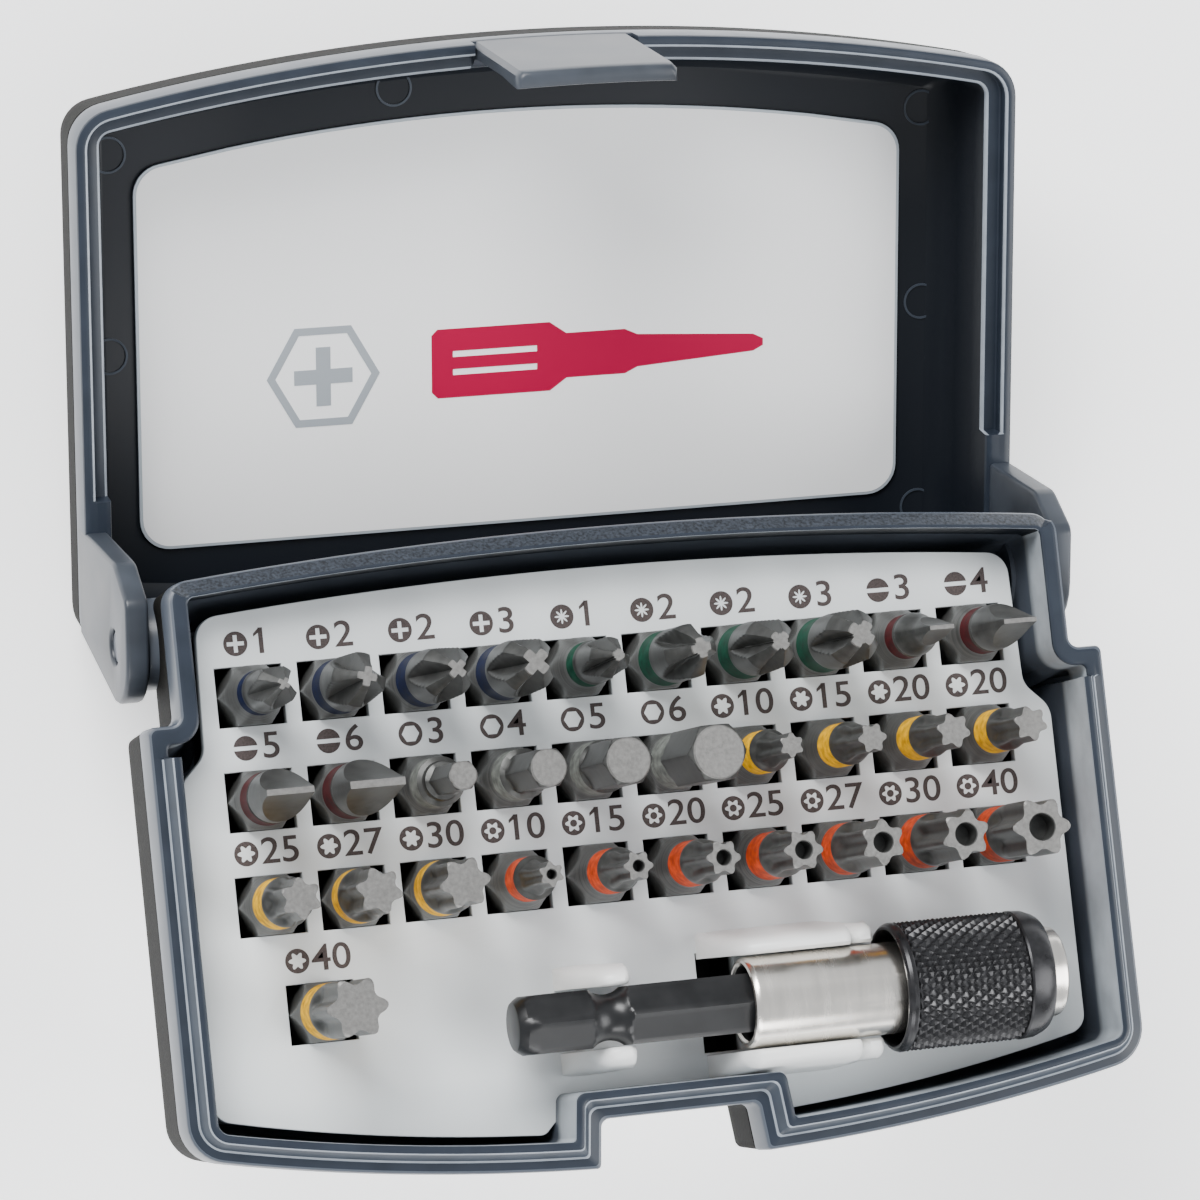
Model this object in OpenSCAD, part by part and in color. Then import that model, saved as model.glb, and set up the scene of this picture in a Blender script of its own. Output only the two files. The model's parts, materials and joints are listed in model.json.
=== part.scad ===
// Hinged case with thirty-one quarter-inch screwdriver bits and a quick-change bit holder.
// Millimetres. Origin: under the middle of the base, on its flat bottom. +Z up, +Y to the hinge.
// The case is drawn open, as it stands when a bit is picked.

/* [Case] */
// Outside width of the case
case_w = 108.8; // [108.6:0.2:114]
// Furthest point of the bowed back wall from the middle
back_y = 34.4; // [34:0.2:38]
// Furthest point of the bowed front wall from the middle
front_y = 35.2; // [35.2:0.2:39]
// Height of the base up to the line where the lid meets it
base_h = 19.3; // [19:0.1:21.5]
// Height of the lid above that line
lid_h = 16.7; // [15.5:0.1:20]
// How far the lid stands open in the drawing
lid_open = 160; // [120:1:180]

/* [Tray] */
// Height of the tray's top face
tray_z = 13; // [12.6:0.1:14]
// Distance between bit pockets along a row
pitch_x = 9.2; // [8.8:0.05:9.2]
// Distance between the rows of bit pockets
pitch_y = 11.33; // [10.8:0.01:11.4]
// How deep a bit sits below the tray's top face
seat_depth = 9; // [8:0.1:9.4]

/* [Bits] */
// Width across the flats of the bit shanks
hex_af = 6.35; // [6.3:0.01:6.38]
// Length of every bit
bit_len = 25; // [24:0.5:27]

/* [Holder] */
// Outside diameter of the knurled sleeve
sleeve_d = 14.2; // [14:0.1:15]
// Outside diameter of the holder's tube
tube_d = 10; // [9.9:0.05:10.1]

/* [Hidden] */
// Rows of the bit table: node name, column, row, drive, tip size across, flat, blade or hole
// across, neck radius.
BITS = [
    ["bit_ph1", 0, 0, "ph", 4.0, 0.9, 2.45],
    ["bit_ph2_a", 1, 0, "ph", 5.6, 1.4, 3.05],
    ["bit_ph2_b", 2, 0, "ph", 5.6, 1.4, 3.05],
    ["bit_ph3", 3, 0, "ph", 6.0, 2.4, 3.1],
    ["bit_pz1", 4, 0, "pz", 4.2, 1.1, 2.45],
    ["bit_pz2_a", 5, 0, "pz", 5.6, 1.6, 3.05],
    ["bit_pz2_b", 6, 0, "pz", 5.6, 1.6, 3.05],
    ["bit_pz3", 7, 0, "pz", 6.2, 2.5, 3.1],
    ["bit_sl3", 8, 0, "sl", 3.4, 0.5, 2.5],
    ["bit_sl4", 9, 0, "sl", 4.2, 0.6, 2.7],
    ["bit_sl5", 0, 1, "sl", 5.2, 0.8, 3.0],
    ["bit_sl6", 1, 1, "sl", 6.0, 1.0, 3.1],
    ["bit_hex3", 2, 1, "hex", 3.0, 0, 2.65],
    ["bit_hex4", 3, 1, "hex", 4.0, 0, 2.75],
    ["bit_hex5", 4, 1, "hex", 5.0, 0, 3.0],
    ["bit_hex6", 5, 1, "hex", 6.0, 0, 3.1],
    ["bit_t10", 6, 1, "torx", 2.80, 0, 2.4],
    ["bit_t15", 7, 1, "torx", 3.35, 0, 2.5],
    ["bit_t20_a", 8, 1, "torx", 3.95, 0, 2.6],
    ["bit_t20_b", 9, 1, "torx", 3.95, 0, 2.6],
    ["bit_t25", 0, 2, "torx", 4.50, 0, 2.8],
    ["bit_t27", 1, 2, "torx", 5.10, 0, 3.0],
    ["bit_t30", 2, 2, "torx", 5.60, 0, 3.1],
    ["bit_th10", 3, 2, "torx", 2.80, 1.0, 2.4],
    ["bit_th15", 4, 2, "torx", 3.35, 1.2, 2.5],
    ["bit_th20", 5, 2, "torx", 3.95, 1.5, 2.6],
    ["bit_th25", 6, 2, "torx", 4.50, 1.9, 2.8],
    ["bit_th27", 7, 2, "torx", 5.10, 2.1, 3.0],
    ["bit_th30", 8, 2, "torx", 5.60, 2.4, 3.1],
    ["bit_th40", 9, 2, "torx", 6.75, 2.8, 3.1],
    ["bit_t40", 0.48, 3, "torx", 6.75, 0, 3.1]
];
CASE_NODES = ["base_shell", "base_cover", "bit_tray", "lid_shell", "lid_cover", "label_panel"];
HOLDER_NODES = ["holder_shank", "holder_tube", "holder_sleeve", "sleeve_spring",
    "sleeve_stop_ring", "spring_stop_ring", "lock_ball", "holder_magnet"];

$fn = 48;
slack = 0.1;               // gap between parts that only rest on each other
corner_steps = 7;          // straight pieces in each rounded corner
arch_steps = 14;           // straight pieces in each bowed wall

// Plan of the case
half_w = case_w / 2;
back_half_w = half_w - 3.7;
shoulder_y = 16.6;
back_bow_r = 500;
front_bow_r = 254;
recess_half_w = 9.45;
recess_y = -29.75;

// Walls and floors
wall = 3;
skirt_h = 4.7;             // clear band on each side of the line where lid and base meet
cover_t = 1.5;
shell_t = 1.3;
foot_r = 8.5;              // rounding of the case's outer edges
foot_in = 6.2;
base_cover_top = base_h - skirt_h;
total_h = base_h + lid_h;
lip_h = 1.6;
floor_z = cover_t + slack + shell_t;
step_low = 3.2;            // the shell steps outwards at these two heights ...
step_high = 6;
step_in = [4.2, 3.3, 1.9]; // ... and stands this far inside the outline below, between and above

// Hinge
hinge_y = 26.4;
hinge_z = 6.45;
pin_r = 1.75;
pin_bore_r = 1.81;
boss_r = 5;
ear_in = half_w - 2;
boss_out = ear_in - 0.2;
pin_out = half_w - 0.3;

// Tray
tray_t = 1.5;
pocket_w = 7.46;
pocket_d = 6.48;
pocket_wall = 0.7;
first_row_y = 19.45;
seat_z = tray_z - seat_depth;
last_row_extra = 0.65;     // the last row stands this much further off

// Bits, measured up from the foot
shank_len = 10.3;          // hexagonal part
neck_end = 13.4;           // the round neck ends and the tip begins

// Holder: its axis lies along X
axis_y = -18.9;
axis_z = tray_z + sleeve_d / 2 + slack;
shank_x = -18.1;
tube_x = 8.0;
nose_x = 44.3;
sleeve_x = 24.8;
sleeve_end_x = 42.6;
stop_ring_x = 29.6;
spring_ring_x = 41;
ring_t = 0.8;
land_x = 33.6;             // the sleeve's narrow land runs from here ...
land_end_x = 35.2;         // ... to here
cone_slope = 0.3;          // outward travel of the ball per millimetre of the sleeve
ball_x = 33.4;
ball_r = 1.25;
ball_seat = 3.72;          // centre of the ball off the axis while it locks a bit
run = 0.05;                // radial running clearance

// ---- outlines -------------------------------------------------------------------------

function unit(v) = v / norm(v);
function turn(a) = a > 180 ? a - 360 : a < -180 ? a + 360 : a;

// Corner b between a and c, rounded to radius r. A radius of zero keeps the plain point.
function corner(a, b, c, r) =
    r <= 0 ? [b] :
    let (
        u = unit(a - b),
        v = unit(c - b),
        half = acos(u * v) / 2,
        reach = r / tan(half),
        mid = b + unit(u + v) * r / sin(half),
        from = b + u * reach - mid,
        to = b + v * reach - mid,
        start = atan2(from.y, from.x),
        sweep = turn(atan2(to.y, to.x) - start)
    )
    [for (k = [0:corner_steps]) mid + r * [cos(start + sweep * k / corner_steps),
                                           sin(start + sweep * k / corner_steps)]];

// Closed outline from [x, y, corner radius] points.
function rounded(pts) =
    let (n = len(pts))
    [for (i = [0:n - 1])
        let (a = pts[(i + n - 1) % n], b = pts[i], c = pts[(i + 1) % n])
        each corner([a.x, a.y], [b.x, b.y], [c.x, c.y], b[2])];

function bow(x, r) = r - sqrt(r * r - x * x);

// Half-way points along a bowed wall between two x values, without its ends.
function bowed(x0, x1, y, r, side) =
    [for (k = [1:arch_steps - 1])
        let (x = x0 + (x1 - x0) * k / arch_steps) [x, side * (y - bow(x, r)), 0]];

// Outline with narrower back part and, on the front, an optional recess for the latch.
function stepped(w, wb, yb, yf, ys, rc, rb, rs, notch_w, notch_y) =
    let (
        rear = bowed(wb - rb, -wb + rb, yb, back_bow_r, 1),
        gap = notch_w > 0 ? notch_w : 0.5,
        left = bowed(-w + rc, -gap, yf, front_bow_r, -1),
        right = bowed(gap, w - rc, yf, front_bow_r, -1),
        edge_y = -yf + bow(gap, front_bow_r)
    )
    rounded(concat(
        [[w, -yf + bow(w, front_bow_r), rc], [w, ys, rs], [wb, ys, rs],
         [wb, yb - bow(wb, back_bow_r), rb]],
        rear,
        [[-wb, yb - bow(wb, back_bow_r), rb], [-wb, ys, rs], [-w, ys, rs],
         [-w, -yf + bow(w, front_bow_r), rc]],
        left,
        notch_w > 0 ? [[-gap, edge_y, 0.4], [-gap + 0.6, notch_y, 1], [gap - 0.6, notch_y, 1],
                       [gap, edge_y, 0.4]] : [],
        right));

// Plan of the base, moved inwards everywhere by inset; notch is the latch recess's half width.
function base_plan(inset, notch = recess_half_w) =
    stepped(half_w - inset, back_half_w - inset, back_y - inset, front_y - inset,
        shoulder_y - inset, max(4.5 - inset, 0.8), max(2.5 - inset, 0.8), 1,
        notch > 0 ? notch + inset : 0, recess_y + inset);

// Plan of the hollow inside the base, which holds the tray.
function hollow_plan(grow) =
    stepped(half_w - wall + grow, back_half_w - 2.1 + grow, back_y - 1.9 + grow,
        front_y - wall + grow, shoulder_y - 2.6 + grow, 2, 1.2, 1.6,
        recess_half_w + 2.2 - grow, recess_y + 1.9 - grow);

// Plan of the tray.
function tray_plan(inset) =
    stepped(50 - inset, 46.7 - inset, 30.4 - inset, 31.3 - inset, 12.6 - inset, 1.8, 2.4, 1.5,
        13 + inset, -26.95 + inset);

// Plan of the lid: the same walls, but full width right back to the hinge.
function lid_plan(inset, rear) =
    let (
        w = half_w - inset,
        yb = back_y - rear,
        yf = front_y - inset,
        rc = max(4.5 - inset, 0.8)
    )
    rounded(concat(
        [[w, -yf + bow(w, front_bow_r), rc], [w, yb - bow(w, back_bow_r), rc]],
        bowed(w - rc, -w + rc, yb, back_bow_r, 1),
        [[-w, yb - bow(w, back_bow_r), rc], [-w, -yf + bow(w, front_bow_r), rc]],
        bowed(-w + rc, w - rc, yf, front_bow_r, -1)));

module slab(plan, z0, z1) {
    translate([0, 0, z0]) linear_extrude(z1 - z0) polygon(plan);
}

// Solid through a stack of outlines with the same number of points, one for each height.
module stack(heights, plans) {
    n = len(plans[0]);
    top = len(heights) - 1;
    points = [for (k = [0:top]) for (p = plans[k]) [p.x, p.y, heights[k]]];
    sides = [for (k = [0:top - 1]) for (j = [0:n - 1])
        let (a = k * n + j, b = k * n + (j + 1) % n)
        each [[a, a + n, b], [b, a + n, b + n]]];
    caps = [[for (j = [0:n - 1]) j], [for (j = [n - 1:-1:0]) top * n + j]];
    polyhedron(points, concat(caps, sides), convexity = 8);
}

// Rounded lower edge of the case: height and inset for each angle of a quarter turn.
edge_angles = [0, 18, 36, 54, 72, 90];
edge_z = [for (a = edge_angles) foot_r * (1 - cos(a))];
edge_inset = [for (a = edge_angles) 0.3 + foot_in * (1 - sin(a))];

// ---- base -----------------------------------------------------------------------------

module both_sides() {
    children();
    mirror([1, 0, 0]) children();
}

// Cylinder along X, from x0 to x1, about the point [y, z].
module rod(x0, x1, y, z, r) {
    translate([x0, y, z]) rotate([0, 90, 0]) cylinder(r = r, h = x1 - x0);
}

// Clear inner shell: lower tub, band that shows, raised lip, hinge bosses and pins.
module base_shell() color("lightsteelblue", 0.6) {
    lip_back = shoulder_y - 3.5;
    difference() {
        union() {
            slab(base_plan(step_in[0]), cover_t + slack, step_low);
            slab(base_plan(step_in[1]), step_low, step_high);
            slab(base_plan(step_in[2]), step_high, base_cover_top);
            slab(base_plan(0), base_cover_top, base_h);
            intersection() {
                union() {
                    slab(base_plan(1.5), base_h, base_h + lip_h / 2);
                    slab(base_plan(2.1), base_h, base_h + lip_h);
                }
                translate([-half_w, -2 * front_y, 0])
                    cube([case_w, 2 * front_y + lip_back, total_h]);
            }
            both_sides() rod(back_half_w - 3.5, boss_out, hinge_y, hinge_z, boss_r);
        }
        slab(hollow_plan(-2.6), floor_z, 6.5);
        slab(hollow_plan(-0.7), 6.4, base_cover_top + 0.6);
        slab(hollow_plan(0), base_cover_top + 0.5, total_h);
        back_bevel();
    }
    both_sides() rod(boss_out - 1, pin_out, hinge_y, hinge_z, pin_r);
}

// Sloped top edge of the back wall, which lets the lid's back wall swing past.
module back_bevel() {
    depth = 1.7;
    outside = back_bow_r + 5;
    translate([0, back_y - back_bow_r, base_h - depth])
        rotate_extrude($fn = 900)
            polygon([[back_bow_r, 0], [outside, 0], [outside, 2 * depth],
                [back_bow_r - 2 * depth, 2 * depth]]);
}

// Dark outer cover of the base.
module base_cover() color("dimgray") difference() {
    stack(concat(edge_z, [base_cover_top - slack]),
        [for (i = concat(edge_inset, [0.05])) base_plan(i, 0)]);
    translate([-recess_half_w, -2 * front_y, -1])
        cube([2 * recess_half_w, 2 * front_y + recess_y, base_h]);
    slab(base_plan(step_in[0] - slack), cover_t, step_low + 0.01);
    slab(base_plan(step_in[1] - slack), step_low, step_high + 0.01);
    slab(base_plan(step_in[2] - slack), step_high, total_h);
    both_sides() rod(back_half_w - 6, half_w, hinge_y, hinge_z, boss_r + slack);
}

// ---- tray -----------------------------------------------------------------------------

function column_x(col) = (col - 4.5) * pitch_x;
function row_y(row) = first_row_y - pitch_y * row - (row > 2 ? last_row_extra : 0);

module pocket_box(b, grow, z0, z1) {
    translate([column_x(b[1]) - pocket_w / 2 - grow, row_y(b[2]) - pocket_d / 2 - grow, z0])
        cube([pocket_w + 2 * grow, pocket_d + 2 * grow, z1 - z0]);
}

// One springy cheek of a holder clip. It runs from x0 to x1; side is +1 behind the holder.
module clip_cheek(x0, x1, gap, reach, top, side) {
    profile = [[gap, tray_z - 0.5], [gap, axis_z + 0.6], [gap - reach, axis_z + 1.9],
        [gap - reach, top], [gap + 1.4, top - 0.5], [gap + 2.6, tray_z - 0.5]];
    translate([x0, axis_y, 0]) mirror([0, side < 0 ? 1 : 0, 0])
        rotate([90, 0, 90]) linear_extrude(x1 - x0) polygon(profile);
}

module holder_clips() {
    tube_gap = tube_d / 2 + 0.2;
    groove_gap = 3.45;
    for (side = [-1, 1]) {
        clip_cheek(5.8, 20.6, tube_gap, 0.1, axis_z + 3.2, side);
        clip_cheek(20.6, 23.4, tube_gap, 0, axis_z + 1.9, side);
        clip_cheek(-10.8, -5.0, groove_gap, 0.2, axis_z + 2.4, side);
    }
}

// White tray: top plate with pockets below it, a rim, windows under the clips and the clips.
module bit_tray() color("whitesmoke") {
    windows = [[5.7, -15.1], [5.7, -23.7]];
    difference() {
        union() {
            slab(tray_plan(0), tray_z - tray_t, tray_z);
            slab(tray_plan(0.8), 7.5, tray_z - tray_t);
            for (b = BITS) pocket_box(b, pocket_wall, floor_z, tray_z - tray_t);
        }
        difference() {
            slab(tray_plan(2), 7.4, tray_z - tray_t);
            for (b = BITS) pocket_box(b, pocket_wall, floor_z - 1, tray_z);
        }
        for (b = BITS) pocket_box(b, 0, seat_z, tray_z + 1);
        for (w = windows) translate([w[0], w[1], 0]) cube([4, 1.95, tray_z + 1]);
    }
    holder_clips();
}

// ---- lid, drawn shut and then swung open ----------------------------------------------

module swing() {
    translate([0, hinge_y, hinge_z]) rotate([-lid_open, 0, 0])
        translate([0, -hinge_y, -hinge_z]) children();
}

// Flat arm beside the base's narrow back part; it carries the hinge bore.
module ear() {
    arm_y = shoulder_y + 0.3 - hinge_y;
    round_r = 6.2;
    profile = concat(
        [[arm_y, base_h + 3 - hinge_z], [arm_y, -0.4], [arm_y + 2.6, -round_r + 0.4],
         [arm_y + 4.2, -round_r]],
        [for (a = [-90:15:15]) round_r * [cos(a), sin(a)]],
        [[5.6, base_h + 3 - hinge_z]]);
    translate([ear_in, hinge_y, hinge_z]) rotate([90, 0, 90])
        linear_extrude(half_w - ear_in) polygon(profile);
}

// Tongue on the lid's front wall that hangs in the base's recess and holds the lid shut.
module latch_tongue() {
    reach = 15.3;
    top = base_h + skirt_h - slack;
    profile = [[-front_y + 0.05, top], [-front_y + 0.15, base_h],
        [-front_y + 0.55, base_h - reach + 0.5], [-front_y + 0.9, base_h - reach],
        [-front_y + 2.45, base_h - reach], [-front_y + 2.0, base_h - reach + 2.6],
        [-front_y + 1.75, base_h], [-front_y + wall, base_h + 2.4], [-front_y + wall, top]];
    translate([-recess_half_w + 0.35, 0, 0]) rotate([90, 0, 90])
        linear_extrude(2 * recess_half_w - 0.7) polygon(profile);
}

// Clear inner shell of the lid: walls, roof, ears with hinge bores and latch tongue.
module lid_shell() color("lightsteelblue", 0.6) swing() {
    low = base_h + slack;
    band_top = base_h + skirt_h;
    difference() {
        union() {
            slab(lid_plan(0, 0), low, band_top);
            slab(lid_plan(step_in[2], step_in[2]), band_top, total_h - step_high);
            slab(lid_plan(step_in[1], step_in[1]), total_h - step_high, total_h - step_low);
            slab(lid_plan(step_in[0], step_in[0]), total_h - step_low, total_h - cover_t - slack);
            both_sides() ear();
        }
        slab(lid_plan(wall, 1.5), low - 1, band_top + 0.1);
        slab(lid_plan(wall + 0.2, 3.3), band_top, total_h - 6.5);
        slab(lid_plan(wall + 3.3, 6.4), total_h - 6.6, total_h - floor_z);
        lip_groove();
        both_sides() rod(ear_in - 1, half_w + 1, hinge_y, hinge_z, pin_bore_r);
        translate([-recess_half_w, -front_y - 1, low - 1]) cube([2 * recess_half_w, 6, 3.1]);
    }
    latch_tongue();
}

// Step along the lid's inner edge where the base's raised lip goes.
module lip_groove() {
    groove_back = shoulder_y - 3.2;
    intersection() {
        slab(lid_plan(1.3, 1.3), base_h - 1, base_h + lip_h + 0.5);
        translate([-half_w, -2 * front_y, 0]) cube([case_w, 2 * front_y + groove_back, total_h]);
    }
}

// Dark outer cover of the lid.
module lid_cover() color("dimgray") swing() difference() {
    heights = concat([base_h + skirt_h + slack], [for (k = [5:-1:0]) total_h - edge_z[k]]);
    insets = concat([0.05], [for (k = [5:-1:0]) edge_inset[k]]);
    stack(heights, [for (i = insets) lid_plan(i, i)]);
    inner = [for (i = step_in) i - slack];
    slab(lid_plan(inner[2], inner[2]), base_h, total_h - step_high);
    slab(lid_plan(inner[1], inner[1]), total_h - step_high - 0.01, total_h - step_low);
    slab(lid_plan(inner[0], inner[0]), total_h - step_low - 0.01, total_h - cover_t);
}

// Printed sheet on the lid's ceiling.
module label_panel() color("white") swing() {
    sheet_t = 0.35;
    side_x = 45.2;
    bow_r = 227;
    front = 25.2;
    n = arch_steps;
    edge = [for (k = [1:n - 1]) let (x = -side_x + 2 * side_x * k / n) [x, bow(x, bow_r) - front, 0]];
    plan = rounded(concat(
        [[side_x, 22.9, 3.5], [-side_x, 22.9, 3.5], [-side_x, bow(side_x, bow_r) - front, 3.5]],
        edge,
        [[side_x, bow(side_x, bow_r) - front, 3.5]]));
    slab(plan, total_h - floor_z - sheet_t, total_h - floor_z);
}

// ---- bit holder, along X --------------------------------------------------------------

module on_axis(x) {
    translate([x, axis_y, axis_z]) rotate([0, 90, 0]) children();
}

// Round solid from [distance along the axis, radius] points.
module turned(profile) {
    on_axis(0) rotate_extrude() polygon([for (p = profile) [p[1], p[0]]]);
}

// Hex rod with a ball-detent groove and bevelled end, pressed into the tube.
module holder_shank() color("dimgray") {
    length = 36;
    corner_r = hex_af / sqrt(3);
    groove = 10.5;
    difference() {
        intersection() {
            on_axis(shank_x) cylinder(r = corner_r, h = length, $fn = 6);
            turned([[shank_x, 0], [shank_x, 2.9], [shank_x + 1, 3.7], [shank_x + length, 3.7],
                [shank_x + length, 0]]);
        }
        turned([[shank_x + groove - 2.2, 5], [shank_x + groove - 2.2, 3.5],
            [shank_x + groove - 1.2, 2.5], [shank_x + groove + 1.2, 2.5],
            [shank_x + groove + 2.2, 3.5], [shank_x + groove + 2.2, 5]]);
    }
}

// Nickel tube: shank bore at the back, hex socket for a bit at the nose, grooves for the rings.
module holder_tube() color("silver") {
    tube_r = tube_d / 2;
    socket_af = 6.5;
    socket_len = 16;
    difference() {
        turned([[tube_x, 0], [tube_x, tube_r - 0.5], [tube_x + 0.5, tube_r], [nose_x - 0.6, tube_r],
            [nose_x, tube_r - 0.6], [nose_x, 0]]);
        on_axis(tube_x - 1) cylinder(r = 3.72, h = 11.05);
        on_axis(nose_x - socket_len) cylinder(r = socket_af / sqrt(3), h = socket_len + 1, $fn = 6);
        on_axis(nose_x - socket_len - 3) cylinder(r = 3.05, h = 4);
        for (x = [stop_ring_x, spring_ring_x]) ring(x, 4.5, 6, slack / 2);
        translate([ball_x, axis_y, axis_z]) cylinder(r = ball_r + run, h = 8);
    }
}

// Knurled sleeve. Its narrow land holds the ball in; the cone beside it lets the ball out.
module holder_sleeve() color("dimgray") {
    r = sleeve_d / 2;
    bore_r = 6.3;
    land_r = tube_d / 2 + run;
    cone_x = stop_ring_x + ring_t + slack;
    knurl_depth = 0.25;
    turned([[sleeve_x, bore_r], [sleeve_x, r - 0.6], [sleeve_x + 0.6, r], [sleeve_x + 2, r],
        [sleeve_x + 2.3, r - knurl_depth], [sleeve_x + 13.2, r - knurl_depth],
        [sleeve_x + 13.5, r], [sleeve_x + 15.4, r], [sleeve_end_x, r - 0.7],
        [sleeve_end_x, bore_r], [land_end_x, bore_r], [land_end_x, land_r], [land_x, land_r],
        [cone_x, land_r + cone_slope * (land_x - cone_x)], [cone_x, bore_r]]);
}

// Coil spring that pushes the sleeve back.
module sleeve_spring() color("silver") {
    wire_r = 0.35;
    coil_r = 5.6;
    turns = 3;
    start = land_end_x + slack / 2 + wire_r;
    rise = spring_ring_x - land_end_x - slack - 2 * wire_r;
    steps = 60;
    sides = 6;
    points = [for (k = [0:steps]) for (j = [0:sides - 1])
        let (a = 360 * turns * k / steps, b = 360 * j / sides, r = coil_r + wire_r * cos(b))
        [start + rise * k / steps + wire_r * sin(b), axis_y + r * cos(a), axis_z + r * sin(a)]];
    faces = concat(
        [[for (j = [sides - 1:-1:0]) j], [for (j = [0:sides - 1]) steps * sides + j]],
        [for (k = [0:steps - 1]) for (j = [0:sides - 1])
            let (a = k * sides + j, b = k * sides + (j + 1) % sides)
            each [[a, b, a + sides], [b, b + sides, a + sides]]]);
    polyhedron(points, faces, convexity = 6);
}

// Ring about the holder's axis, swollen by grow at each end.
module ring(x, inner, outer, grow) {
    turned([[x - grow, inner], [x - grow, outer], [x + ring_t + grow, outer],
        [x + ring_t + grow, inner]]);
}

// Snap ring that the sleeve rests against.
module sleeve_stop_ring() color("dimgray") ring(stop_ring_x, 4.55, 6.2, 0);

// Snap ring that the spring pushes on.
module spring_stop_ring() color("dimgray") ring(spring_ring_x, 4.55, 6.1, 0);

module lock_ball() color("silver") {
    translate([ball_x, axis_y, axis_z + ball_seat]) sphere(r = ball_r);
}

// Magnet behind the socket.
module holder_magnet() color("dimgray") {
    turned([[nose_x - 18.9, 0], [nose_x - 18.9, 3], [nose_x - 16.1, 3], [nose_x - 16.1, 0]]);
}

// ---- bits -----------------------------------------------------------------------------

// Hex shank with bevelled ends, standing on its foot at z = 0.
module bit_shank() {
    intersection() {
        cylinder(r = hex_af / sqrt(3), h = shank_len, $fn = 6);
        rotate_extrude() polygon([[0, 0], [2.9, 0], [3.9, 1.1], [3.9, shank_len - 0.9],
            [2.9, shank_len], [0, shank_len]]);
    }
}

// Round core of a bit: neck, then a taper between two heights to radius r, on to the tip.
module core(neck_r, from, to, r) {
    rotate_extrude() polygon([[0, shank_len - 1], [neck_r, shank_len - 1], [neck_r, from],
        [r, to], [r, bit_len], [0, bit_len]]);
}

// Six-lobed star outline.
function star(across) =
    let (big = across / 2, small = 0.72 * big)
    [for (a = [0:5:355]) ((big + small) / 2 + (big - small) / 2 * cos(6 * a)) * [cos(a), sin(a)]];

// Cross tip, for Phillips and Pozidriv: a cone down to a small flat, with four flutes.
module cross_tip(across, flat, neck_r, narrow) {
    r = across / 2;
    cone_h = (r - flat / 2) * 1.75;
    flute_r = narrow ? 0.6 * r : 0.8 * r;
    flute_len = 12;
    root = 0.4 * flat;
    tilt = 16;
    difference() {
        rotate_extrude() polygon([[0, shank_len - 1], [neck_r, shank_len - 1], [neck_r, neck_end],
            [r, neck_end + 1.2], [r, bit_len - cone_h], [flat / 2, bit_len], [0, bit_len]]);
        for (a = [45:90:315]) rotate([0, 0, a]) translate([flute_r + root, 0, bit_len])
            rotate([0, 180 - tilt, 0]) translate([0, 0, -2]) cylinder(r = flute_r, h = flute_len);
    }
}

// Flat blade, hollow-ground on both faces.
module blade_tip(across, thick, neck_r) {
    grind_r = 15;
    flat_h = 0.5;
    difference() {
        core(neck_r, neck_end + 1, bit_len - 3, across / 2);
        for (side = [-1, 1]) {
            translate([-5, side * (thick / 2 + grind_r), bit_len - flat_h])
                rotate([0, 90, 0]) cylinder(r = grind_r, h = 10, $fn = 96);
            translate([-5, side > 0 ? thick / 2 : -thick / 2 - 5, bit_len - flat_h - 0.1])
                cube([10, 5, 2]);
        }
    }
}

// Hexagonal tip with a bevelled end.
module hex_tip(across, neck_r) {
    core(neck_r, neck_end, neck_end + 2.4, across / 2);
    intersection() {
        translate([0, 0, neck_end]) cylinder(r = across / sqrt(3), h = bit_len - neck_end, $fn = 6);
        rotate_extrude() polygon([[0, neck_end], [4, neck_end], [4, bit_len - 1],
            [across / 2 - 0.1, bit_len], [0, bit_len]]);
    }
}

// Six-lobed tip; hole is the bore for a tamper pin, or zero.
module star_tip(across, hole, neck_r) {
    hole_depth = 3;
    difference() {
        union() {
            core(neck_r, neck_end, neck_end + 4, across * 0.35);
            translate([0, 0, neck_end]) linear_extrude(bit_len - neck_end) polygon(star(across));
        }
        if (hole > 0) translate([0, 0, bit_len - hole_depth]) cylinder(r = hole / 2, h = 4);
    }
}

// A whole bit in its pocket. The flats of its shank face the pocket's front and back.
module bit(b) color("gray") translate([column_x(b[1]), row_y(b[2]), seat_z]) {
    bit_shank();
    if (b[3] == "ph") cross_tip(b[4], b[5], b[6], false);
    if (b[3] == "pz") cross_tip(b[4], b[5], b[6], true);
    if (b[3] == "sl") blade_tip(b[4], b[5], b[6]);
    if (b[3] == "hex") hex_tip(b[4], b[6]);
    if (b[3] == "torx") star_tip(b[4], b[5], b[6]);
}

base_shell();
base_cover();
bit_tray();
lid_shell();
lid_cover();
label_panel();
holder_shank();
holder_tube();
holder_sleeve();
sleeve_spring();
sleeve_stop_ring();
spring_stop_ring();
lock_ball();
holder_magnet();
for (b = BITS) bit(b);
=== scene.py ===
"""Looks for the screwdriver bit set: a hinged clear-and-grey case, its printed tray, thirty-one bits
and a quick-change bit holder. Helpers work in millimetres; objects are made in metres."""

import json
import math

import bmesh
import bpy
import numpy as np
from mathutils import Matrix, Vector


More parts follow.
